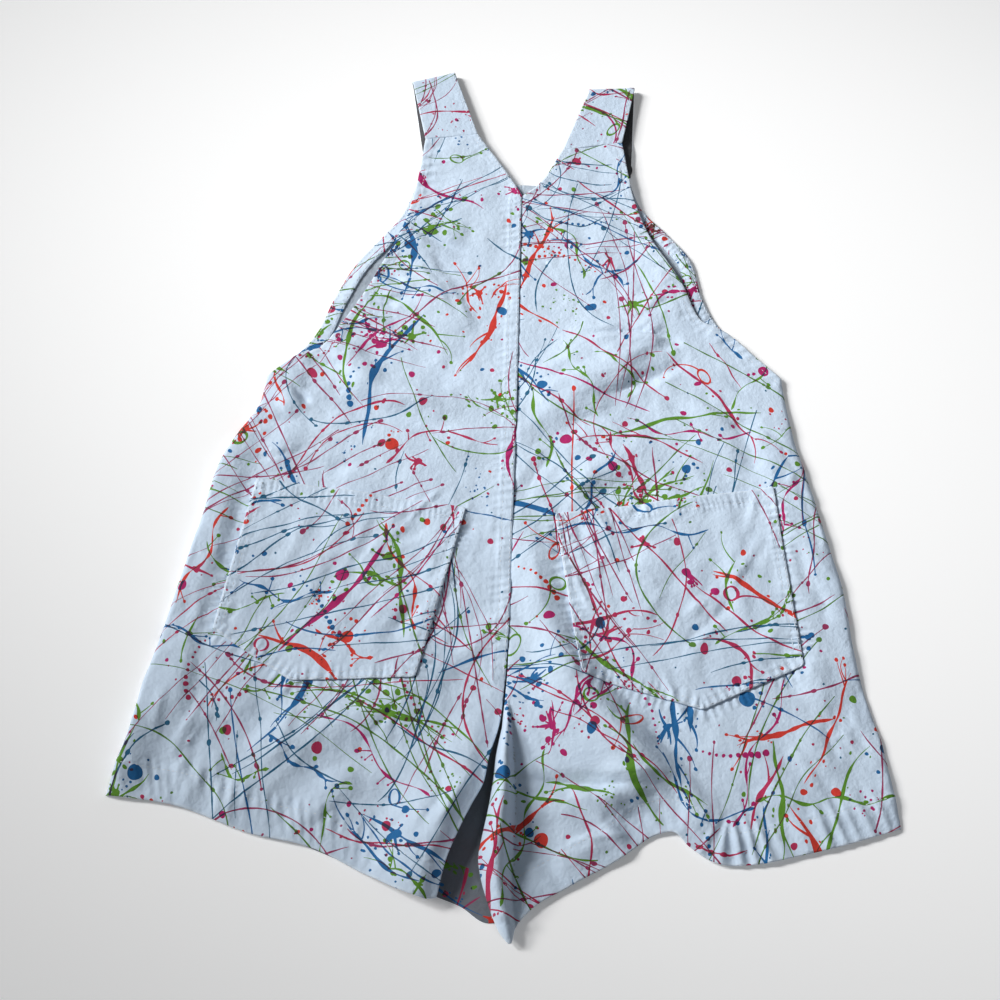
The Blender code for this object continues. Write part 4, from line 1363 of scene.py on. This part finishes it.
def twill_material(name, base, shade, worn_and_shaded, roughness):
    """Twill without print: two near tones in soft clouds, and a third tone mixed in by a per-place attribute,
    which is lighter wear along edges, and on the wrong side a painted shade inside the legs.
    """
    made, shader = new_material(name, base, roughness)
    shader.inputs["Sheen Weight"].default_value = 0.12
    shader.inputs["Sheen Roughness"].default_value = 0.5
    shader.inputs["Specular IOR Level"].default_value = 0.25
    weave_bump(made, shader)
    tree = made.node_tree
    clouds = add_texture(tree, "Noise", scale=26.0, detail=5.0, roughness=0.62)
    tones = tree.nodes.new("ShaderNodeValToRGB")
    for stop, position, colour in zip(tones.color_ramp.elements, (0.36, 0.62), (shade, base)):
        stop.position = position
        stop.color = (*colour, 1)
    tree.links.new(clouds.outputs["Fac"], tones.inputs["Fac"])
    # The attribute brings in the third tone: wear on the twill, painted shade on the wrong side.
    wear_and_shade = tree.nodes.new("ShaderNodeAttribute")
    wear_and_shade.attribute_name = "worn_and_shaded"
    mix = tree.nodes.new("ShaderNodeMix")
    mix.data_type = "RGBA"
    tree.links.new(wear_and_shade.outputs["Fac"], mix.inputs["Factor"])
    tree.links.new(tones.outputs["Color"], mix.inputs[6])
    mix.inputs[7].default_value = (*worn_and_shaded, 1)
    tree.links.new(mix.outputs[2], shader.inputs["Base Color"])
    return made


def print_material(name, colour):
    """Ink printed on the twill: its own flat colour over the same weave."""
    made, shader = new_material(name, colour, 0.78)
    shader.inputs["Specular IOR Level"].default_value = 0.3
    shader.inputs["Sheen Weight"].default_value = 0.08
    weave_bump(made, shader, weave=0.4)
    return made


def thread_material():
    """Spun sewing thread: fine twist and slight unevenness."""
    made, shader = new_material("thread", THREAD, 0.7)
    shader.inputs["Sheen Weight"].default_value = 0.2
    twist = add_texture(made.node_tree, "Wave", scale=900.0, distortion=1.5)
    twist.bands_direction = "DIAGONAL"
    add_bump(made.node_tree, shader, twist, 0.5, 0.0001)
    return made


def plastic_material():
    """Dark moulded plastic with a faint grain and handling marks."""
    made, shader = new_material("dark button", DARK_PLASTIC, 0.35)
    tree = made.node_tree
    marks = add_texture(tree, "Noise", scale=420.0, detail=6.0, roughness=0.7)
    spread = add_node(tree, "ShaderNodeMapRange", to_min=0.26, to_max=0.5)
    tree.links.new(marks.outputs["Fac"], spread.inputs["Value"])
    tree.links.new(spread.outputs["Result"], shader.inputs["Roughness"])
    add_bump(tree, shader, marks, 0.2, 0.0001)
    return made


def all_materials():
    """Every material by the name that the pieces use."""
    # The wrong side's third tone is painted shade, for inside the legs.
    wrong_side = (WRONG_SIDE, WRONG_SIDE_SHADE, WRONG_SIDE_PAINTED_SHADE)
    made = {
        "cloth": twill_material("twill", TWILL, TWILL_SHADE, TWILL_WORN, 0.86),
        "wrong side": twill_material("twill wrong side", *wrong_side, 0.9),
        # painted shade for the strap's under face
        "painted strap shade": twill_material("strap painted shade", STRAP_PAINTED_SHADE, STRAP_PAINTED_SHADE_TONE, STRAP_PAINTED_SHADE, 0.9),
        "thread": thread_material(),
        "plastic": plastic_material(),
    }
    for name, colour in PRINT_COLOURS.items():
        made[name] = print_material("print " + name.replace("_", " "), colour)
    return made


# ---------------------------------------------------------------- the pieces
def declare(piece, nodes, slot, stitching=None, **sheet):
    """Attach one piece of cloth and its stitches to the body, and hide the CAD parts that it stands for."""
    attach(piece, BODY)
    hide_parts(*nodes)
    if stitching is not None:
        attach(stitching, BODY)


PRINT_SEED = 10             # times a piece's seed
SHARP = 0.3                 # creases sharper than this get a finer mesh
# How far on each side of a line the mesh is finer.
CREASE_ZONE = 9.5
BAND_ZONE = 7.0
INNER_ZONE = 30.0
EDGE_ZONE = 6.0
POCKET_ZONE = 8.0
# The patch's own, beside its sewn edge and its top edge: how far in, and the reach.
PATCH_ZONES = ((4.0, 9.0), (6.0, 10.0))
WEAR_REACH = 1.6
WEAR = 0.8
POCKET_WEAR_REACH = 1.3
POCKET_WEAR = 0.9
SEAM_ROW = 1.6              # the row of stitches close beside a seam, a neckline or a pocket's edge
POCKET_ROW = 5.4            # the pockets' inner row
POCKET_SEWN_BAND = (6.5, 0.35)      # width and extra thickness, and then its puckers
POCKET_HEM_BAND = (POCKET_HEM, 0.45, (3.9, 1.0, 4.0, 0.1))
POCKET_TOP_PUCKER = (POCKET_PUCKER[0], 0.25, 4.0)
DEEPEST_RELIEF = {"pocket": -0.7, "front": -0.3, "facing": -0.55, "strap": -0.5}
TURNED_HEM = 24.0           # how far the hem is turned up to the wrong side
FRONT_GAP = 0.02            # the front's under face above the table
FRONT_HEM_BAND = (TURNED_HEM, 0.3, (14.0, 0.3, 10.0))
FRONT_ARMHOLE_BAND = (1.0, 0.1)
FRONT_PRINT_MARGIN = (30.0, 2.0)    # below and above the hem's turn, where print shapes are kept
FRONT_ZONE = 4.0
FRONT_GRIDS = (6.0, 3.0)
PAINTED_LEG_SHADE = (-120.0, 90.0)        # y up to which the wrong side is painted with shade, and how far that painted shade fades
FACING_ROWS = (2.0, 9.4)    # the rows of stitches, from the armhole's edge
FACING_PUCKER_AT = 7.0
FACING_PUCKER = (5.5, 1.1, 7.0, 0.3)
FACING_PRINT = 1.4          # how much denser than on the panels the print is
FACING_ZONE = (6.0, 8.0)
FACING_GRIDS = (2.4, 1.5)
STRAP_HOP = 0.4             # the steps down and across that give the strap's slope
STRAP_NUDGE = 0.01
STRAP_CRINKLE = 0.6         # share of the panels' crinkle
STRAP_RELIEF = 0.8
STRAP_BAND = (3.6, 0.3, (7.0, 0.3, 4.0))
STRAP_SEAM_PUCKER = (5.0, 0.7, 8.0)
STRAP_ROW = 2.4             # the row of stitches, from each side
STRAP_PRINT = 1.3
STRAP_SEAM_ZONE = 10.0
STRAP_GRIDS = (2.6, 1.5)


def outside_pocket(x, y, pocket):
    """0 under a pocket, rising to 1 just outside it."""
    off = np.where(inside(x, y, pocket), 0, edge_distance(x, y, pocket))
    return smooth(off / POCKET_EDGE_FADE)


def wear_near(lines, reach=WEAR_REACH, amount=WEAR):
    """A function of place: how worn the cloth is, most at the given lines."""
    def wear_and_shade(x, y):
        worn_and_shaded = np.zeros(len(x))
        for line in lines:
            off = np.abs(along_line(x, y, line)[1])
            worn_and_shaded = np.maximum(worn_and_shaded, amount * (1 - smooth(off / reach)))
        return worn_and_shaded
    return wear_and_shade


def at_heights(x, y, lower, upper):
    """The under and the upper places of a sheet over flat places."""
    return np.stack([x, y, lower], axis=1), np.stack([x, y, upper], axis=1)


def hidden_shape(polygon, cover):
    """True if a print shape lies wholly under a pocket."""
    return inside(polygon[:, 0], polygon[:, 1], cover).all()


def back_half(side, materials, seed):
    """One half of the back with its patch pocket and all their stitching."""
    form = BackForm(side, seed + 7)
    parts = form.parts
    outline = joined(list(parts.values()))
    corners = POCKET_LEFT if side == "left" else POCKET_RIGHT
    pocket = pocket_parts(corners)
    cover = joined(list(pocket.values()))
    relief = Relief(seed)
    rows, zones = [], []
    for part, width, rise, *pucker in BANDS_LEFT if side == "left" else BANDS_RIGHT:
        relief.add_band(parts[part], width, rise, pucker)
        rows.append(beside(parts[part], width - STITCH_INSET))
        if part in ("seam", "neck"):
            rows.append(beside(parts[part], SEAM_ROW))
        zones.append((beside(parts[part], width / 2), width / 2 + BAND_ZONE))
    if side == "right":
        relief.sinks.append((parts["seam"], SEAM_SINK, SEAM_SINK_WIDTH))
        zones.append((parts["seam"], EDGE_ZONE))
    (low, high), inward, *gathers = HEM_PUCKERS[side]
    gathered = parts["hem"][(parts["hem"][:, 0] > low) & (parts["hem"][:, 0] < high)]
    relief.add_pucker(beside(gathered, inward), *gathers)
    zones.append((parts["inner"], INNER_ZONE))
    zones.append((parts["side"], EDGE_ZONE))
    sewn = pocket["sewn"]
    relief.add_pucker(sewn, *POCKET_PUCKER)
    sewn_pucker = relief.puckers[-1]
    relief.add_pucker(pocket["top"], *POCKET_TOP_PUCKER)
    zones.append((np.concatenate([sewn, pocket["top"]]), POCKET_ZONE))
    for crease in form.creases:
        if crease[8] > SHARP:
            zones.append((smooth_line([crease[0:2], crease[2:4], crease[4:6]]), CREASE_ZONE))

    def faces_of(x, y):
        base = form(x, y)
        top = base + relief(x, y) * outside_pocket(x, y, cover)
        lower = np.maximum(np.minimum(base - WALL, top - RELIEF_WALL), UNDERSIDE)
        top = np.maximum(top, lower + THINNEST_WALL)
        return at_heights(x, y, lower, top)

    print_seed = seed * PRINT_SEED
    shapes = spatter(print_seed, outline)
    shapes = [shape for shape in shapes if not hidden_shape(shape[1], cover)]
    wear_and_shade = wear_near([parts["hem"], parts["armhole"], parts["neck"], parts["side"]])
    name = "back_" + side
    piece = cloth(
        name + "_cloth", outline, faces_of, materials, shapes=shapes, zones=zones, wear_and_shade=wear_and_shade, seed=seed,
    )
    thread = stitches(name + "_stitches", rows, outline, faces_of, materials["thread"], seed)

    patch_relief = Relief(seed + 5)
    patch_relief.waves = relief.waves
    patch_relief.puckers = [sewn_pucker]
    patch_relief.add_band(pocket["top"], *POCKET_HEM_BAND)
    patch_relief.add_band(sewn, *POCKET_SEWN_BAND)
    patch = patch_pocket(side, form, patch_relief, pocket, cover, materials, print_seed + 1, seed)
    return piece, thread, *patch


def patch_pocket(side, form, relief, parts, outline, materials, print_seed, seed):
    """The patch pocket of one back half, which follows the form of the back under it."""
    sewn, top_edge = parts["sewn"], parts["top"]

    def faces_of(x, y):
        base = form(x, y) + POCKET_BASE
        top = base + POCKET_WALL + np.maximum(relief(x, y), DEEPEST_RELIEF["pocket"])
        return at_heights(x, y, base, top)

    name = "pocket_" + side
    patch = cloth(
        name + "_cloth", outline, faces_of, materials, shapes=spatter(print_seed, outline),
        zones=[(beside(line, inward), reach) for line, (inward, reach) in zip((sewn, top_edge), PATCH_ZONES)],
        wear_and_shade=wear_near([sewn, top_edge], POCKET_WEAR_REACH, POCKET_WEAR), seed=seed + 2,
    )
    rows = [beside(sewn, SEAM_ROW), beside(sewn, POCKET_ROW), beside(top_edge, POCKET_HEM - STITCH_INSET)]
    return patch, stitches(name + "_stitches", rows, outline, faces_of, materials["thread"], seed + 3)


def front_half(side, materials, seed):
    """One half of the front, which lies face down: its plain wrong side is up."""
    parts = panel_parts("front_" + side)
    outline = joined(list(parts.values()))
    relief = Relief(seed)
    relief.add_band(parts["hem"], *FRONT_HEM_BAND)
    relief.add_band(parts["armhole"], *FRONT_ARMHOLE_BAND)

    def faces_of(x, y):
        base = front_form(x, y)
        top = base + WALL + np.maximum(0.5 * relief(x, y), DEEPEST_RELIEF["front"])
        return at_heights(x, y, base + FRONT_GAP, top)

    def recolour(x, y, shown):
        """The print shows only on the hem that is turned up to this side."""
        on_hem = np.abs(along_line(x, y, parts["hem"])[1]) < TURNED_HEM
        printed = on_hem & np.array([colour != "cloth" for colour in shown])
        return [colour if on else "wrong side" for colour, on in zip(shown, printed)]

    turned = beside(parts["hem"], TURNED_HEM)
    below, above = FRONT_PRINT_MARGIN
    low, high = turned[:, 1].min() - below, turned[:, 1].max() + above
    shapes = [
        shape for shape in spatter(seed * PRINT_SEED, outline)
        if shape[1][:, 1].min() < high and shape[1][:, 1].max() > low
    ]
    return cloth(
        f"front_{side}_cloth", outline, faces_of, materials, shapes=shapes,
        zones=[(turned, FRONT_ZONE)], cuts=[turned[inside(turned[:, 0], turned[:, 1], outline)]],
        # this mask paints shade onto the wrong side inside the legs
        wear_and_shade=lambda x, y: 1 - smooth((y - PAINTED_LEG_SHADE[0]) / PAINTED_LEG_SHADE[1]), recolour=recolour,
        under="cloth", seed=seed, grids=FRONT_GRIDS,
    )


def facing(side, materials, seed):
    """The printed facing along the front's armhole."""
    edge = front_armhole(side)
    edge = edge[(edge[:, 1] > FACING_SPAN[0]) & (edge[:, 1] < FACING_SPAN[1])]
    inward = -1 if side == "left" else 1
    near = beside(edge, inward * FACING_INSET)
    far = beside(edge, inward * (FACING_INSET + FACING_WIDTH))
    outline = np.concatenate([near[::-1], far] if side == "left" else [near, far[::-1]])
    relief = Relief(seed)
    relief.add_pucker(beside(edge, inward * FACING_PUCKER_AT), *FACING_PUCKER)

    def faces_of(x, y):
        base = front_form(x, y) + FACING_BASE
        top = base + FACING_WALL + np.maximum(relief(x, y), DEEPEST_RELIEF["facing"])
        return at_heights(x, y, base, top)

    name = "facing_" + side
    piece = cloth(
        name + "_cloth", outline, faces_of, materials,
        shapes=spatter(seed * PRINT_SEED, outline, FACING_PRINT),
        zones=[(beside(edge, inward * FACING_ZONE[0]), FACING_ZONE[1])],
        wear_and_shade=wear_near([near]), seed=seed, grids=FACING_GRIDS,
    )
    rows = [beside(edge, inward * row) for row in FACING_ROWS]
    return piece, stitches(name + "_stitches", rows, outline, faces_of, materials["thread"], seed)


class StrapPath:
    """A strap's way: up from the bib, round its fold, and down underneath to the bib corner."""

    def __init__(self, strap):
        ends = [np.array(strap[key], float) for key in ("seam", "fold", "end")]
        self.seam, self.fold, self.end = ends
        self.radius = (STRAP_TOP - STRAP_FLOOR) / 2
        across = (self.fold[2:] - self.fold[:2]) / np.hypot(*(self.fold[2:] - self.fold[:2]))
        self.out = np.array([-across[1], across[0]])
        middles = [(end[:2] + end[2:]) / 2 for end in ends]
        self.upper_run = np.hypot(*(middles[1] - middles[0]))
        self.arc = math.pi * self.radius
        self.lower_run = np.hypot(*(middles[2] - middles[1]))
        self.length = self.upper_run + self.arc + self.lower_run

    def width(self, down):
        """Width of the strap at each distance down its length."""
        knots = (0, self.upper_run, self.upper_run + self.arc, self.length)
        ends = (self.seam, self.fold, self.fold, self.end)
        return np.interp(down, knots, [np.hypot(*(end[2:] - end[:2])) for end in ends])

    def middle(self, share, down):
        """The place in the middle of the wall, share of the way across, at a distance down."""
        first = np.clip(down / self.upper_run, 0, 1)
        turn = np.clip((down - self.upper_run) / self.radius, 0, math.pi)
        second = np.clip((down - self.upper_run - self.arc) / self.lower_run, 0, 1)
        ends = self.seam + (self.fold - self.seam) * first[:, None]
        ends = ends + (self.end - self.fold) * second[:, None]
        place = ends[:, :2] + (ends[:, 2:] - ends[:, :2]) * share[:, None]
        place = place + self.out * (self.radius * np.sin(turn))[:, None]
        seam_z = BACK_LOFT + BIB_LIFT - STRAP_WALL / 2
        height = seam_z + (STRAP_TOP - seam_z) * smooth(first)
        height = np.where(turn > 0, STRAP_FLOOR + self.radius * (1 + np.cos(turn)), height)
        start, risen = STRAP_RISE
        climb = smooth((start - place[:, 1]) / (start - risen))
        low = STRAP_FLOOR + (STRAP_OVER_BUTTON - STRAP_FLOOR) * climb
        height = np.where(second > 0, low, height)
        return np.column_stack([place, height])

    def frame(self, x, y):
        """Middle of the wall and outward normal, for flat places across and down the strap."""
        share = 0.5 + x / self.width(y)
        here = self.middle(share, y)
        across = self.middle(share + STRAP_NUDGE, y) - self.middle(share - STRAP_NUDGE, y)
        down = self.middle(share, y + STRAP_HOP) - self.middle(share, np.maximum(y - STRAP_HOP, 0))
        normal = np.cross(across, down)
        return here, normal / np.linalg.norm(normal, axis=1)[:, None]


def strap(side, materials, seed):
    """One shoulder strap, made flat from its seam down and then bent along its way."""
    path = StrapPath(STRAP_LEFT if side == "left" else STRAP_RIGHT)
    down = np.linspace(0, path.length, round(path.length / 2) + 1)
    half = path.width(down) / 2
    right, left = np.stack([half, down], axis=1), np.stack([-half, down], axis=1)
    start = evened(np.array([left[0], right[0]]), 2.0)
    finish = evened(np.array([right[-1], left[-1]]), 2.0)
    outline = joined([start, right, finish, left[::-1]])
    relief = Relief(seed)
    relief.waves = [(*wave, STRAP_CRINKLE * share) for *wave, share in relief.waves]
    relief.add_band(right, *STRAP_BAND)
    relief.add_band(left[::-1], *STRAP_BAND)
    relief.add_pucker(start, *STRAP_SEAM_PUCKER)

    def faces_of(x, y):
        middle, normal = path.frame(x, y)
        raised = np.maximum(STRAP_RELIEF * relief(x, y), DEEPEST_RELIEF["strap"])
        lower = middle - normal * STRAP_WALL / 2
        upper = middle + normal * (STRAP_WALL / 2 + raised)[:, None]
        for face in (lower, upper):
            face[:, 2] = np.maximum(face[:, 2], TABLE_GAP)
        return lower, upper

    name = "strap_" + side
    piece = cloth(
        name + "_cloth", outline, faces_of, materials,
        shapes=spatter(seed * PRINT_SEED, outline, STRAP_PRINT),
        zones=[(right, EDGE_ZONE), (left, EDGE_ZONE), (start, STRAP_SEAM_ZONE)],
        # the under face takes the near-black painted shade
        wear_and_shade=wear_near([left, right]), under="painted strap shade", seed=seed, grids=STRAP_GRIDS,
    )
    rows = [beside(right, STRAP_ROW), beside(left[::-1], STRAP_ROW)]
    return piece, stitches(name + "_stitches", rows, outline, faces_of, materials["thread"], seed)


# ---------------------------------------------------------------- camera, floor and light
VIEW_TILT = 26.0            # degrees from straight down
VIEW_DISTANCE = 1.05
VIEW_LENS = 52.5
SENSOR = 36.0
LOOK_AT = (0.0, 0.0)        # on the table, in mm
FLOOR_SIZE = 30.0
FLOOR_COLOUR = (0.94, 0.94, 0.94)
FLOOR_GLOW = 0.13           # the white table top, lit a little from beneath
KEY_WAY = (-0.82, 0.20, 0.50)
KEY_DISTANCE = 9.0
KEY_SIZE = 1.8
KEY_POWER = 340.0
KEY_COLOUR = (1.0, 0.99, 0.97)
POOL_AT = (245.0, 150.0)    # where a soft pool of light falls from above, in mm
POOL_WAY = (-0.70, 0.20, 0.62)
POOL_DISTANCE = 3.0
POOL_CONE = 28.0            # degrees
POOL_SOFTNESS = 0.35
POOL_POWER = 338.0
SKY = (0.93, 0.96, 1.0)
SKY_STRENGTH = 0.16


def shine(light, target, way, distance):
    """Put a light at a distance from its target, facing it."""
    lamp = bpy.data.objects.new(light.name, light)
    way = Vector(way).normalized()
    lamp.location = target + distance * way
    lamp.rotation_euler = way.to_track_quat("Z", "Y").to_euler()
    bpy.context.scene.collection.objects.link(lamp)


def camera_and_light():
    """The camera at the garment's own angle, and soft studio light from the left."""
    scene = bpy.context.scene
    scene.view_settings.view_transform = "Standard"
    look = Vector(to_world([(*LOOK_AT, 0.0)])[0])
    tilt = math.radians(VIEW_TILT)
    lens = bpy.data.cameras.new("camera")
    lens.sensor_width = SENSOR
    lens.lens = VIEW_LENS
    camera = bpy.data.objects.new("camera", lens)
    camera.location = look + VIEW_DISTANCE * Vector((0, -math.sin(tilt), math.cos(tilt)))
    camera.rotation_euler = (tilt, 0, 0)
    scene.collection.objects.link(camera)
    scene.camera = camera

    key = bpy.data.lights.new("key", "AREA")
    key.shape = "DISK"
    key.size = KEY_SIZE
    key.energy = KEY_POWER
    key.color = KEY_COLOUR
    shine(key, look, KEY_WAY, KEY_DISTANCE)

    pool = bpy.data.lights.new("pool", "SPOT")
    pool.spot_size = math.radians(POOL_CONE)
    pool.spot_blend = 1.0
    pool.shadow_soft_size = POOL_SOFTNESS
    pool.energy = POOL_POWER
    shine(pool, Vector(to_world([(*POOL_AT, 0.0)])[0]), POOL_WAY, POOL_DISTANCE)

    world = bpy.data.worlds.new("studio")
    world.use_nodes = True
    background = world.node_tree.nodes["Background"]
    background.inputs["Color"].default_value = (*SKY, 1)
    background.inputs["Strength"].default_value = SKY_STRENGTH
    scene.world = world


def floor():
    """A plain pale table top."""
    half = FLOOR_SIZE / 2
    corners = [(-half, -half, 0), (half, -half, 0), (half, half, 0), (-half, half, 0)]
    mesh = bpy.data.meshes.new("floor")
    mesh.from_pydata(corners, [], [(0, 1, 2, 3)])
    made, shader = new_material("pale floor", FLOOR_COLOUR, 0.8)
    shader.inputs["Emission Color"].default_value = (1, 1, 1, 1)
    shader.inputs["Emission Strength"].default_value = FLOOR_GLOW
    grain = add_texture(made.node_tree, "Noise", scale=60.0, detail=3.0)
    add_bump(made.node_tree, shader, grain, 0.05, 0.0005)
    finished("floor", mesh, [made])


# ---------------------------------------------------------------- all together
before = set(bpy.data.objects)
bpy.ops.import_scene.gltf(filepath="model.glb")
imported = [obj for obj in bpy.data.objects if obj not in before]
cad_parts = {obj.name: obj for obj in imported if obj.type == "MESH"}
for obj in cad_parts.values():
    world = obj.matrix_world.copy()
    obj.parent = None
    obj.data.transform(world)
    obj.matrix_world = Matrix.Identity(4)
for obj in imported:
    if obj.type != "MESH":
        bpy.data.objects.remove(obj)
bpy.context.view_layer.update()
camera_and_light()
floor()
surfaces = all_materials()

BACK_AREA = {"left": 0.110, "right": 0.118}     # flat, in square metres
for side, seed in (("left", 3), ("right", 4)):
    front = front_half(side, surfaces, seed + 20)
    declare(
        front, ["front_" + side], "twill", flat=(0.27, 0.62), area=0.108, held="laid",
        rests_on=["floor"],
    )
    strip, strip_thread = facing(side, surfaces, seed + 30)
    declare(
        strip, ["facing_" + side], "facing", strip_thread, flat=(0.011, 0.19), held="laid",
        rests_on=[front.name],
    )
    piece, thread, patch, patch_thread = back_half(side, surfaces, seed)
    declare(
        piece, ["back_" + side], "twill", thread, flat=(0.28, 0.64), area=BACK_AREA[side], held="laid",
        rests_on=[front.name],
    )
    declare(
        patch, ["pocket_" + side], "twill", patch_thread, flat=(0.17, 0.15), area=0.0215,
        held="laid", rests_on=[piece.name],
    )
    band, band_thread = strap(side, surfaces, seed + 40)
    declare(
        band, ["strap_" + side], "twill", band_thread, flat=(0.043, 0.166), held="folded",
        rests_on=["floor", "button_" + side],
    )
    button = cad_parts["button_" + side]
    button.data.materials.clear()
    button.data.materials.append(surfaces["plastic"])
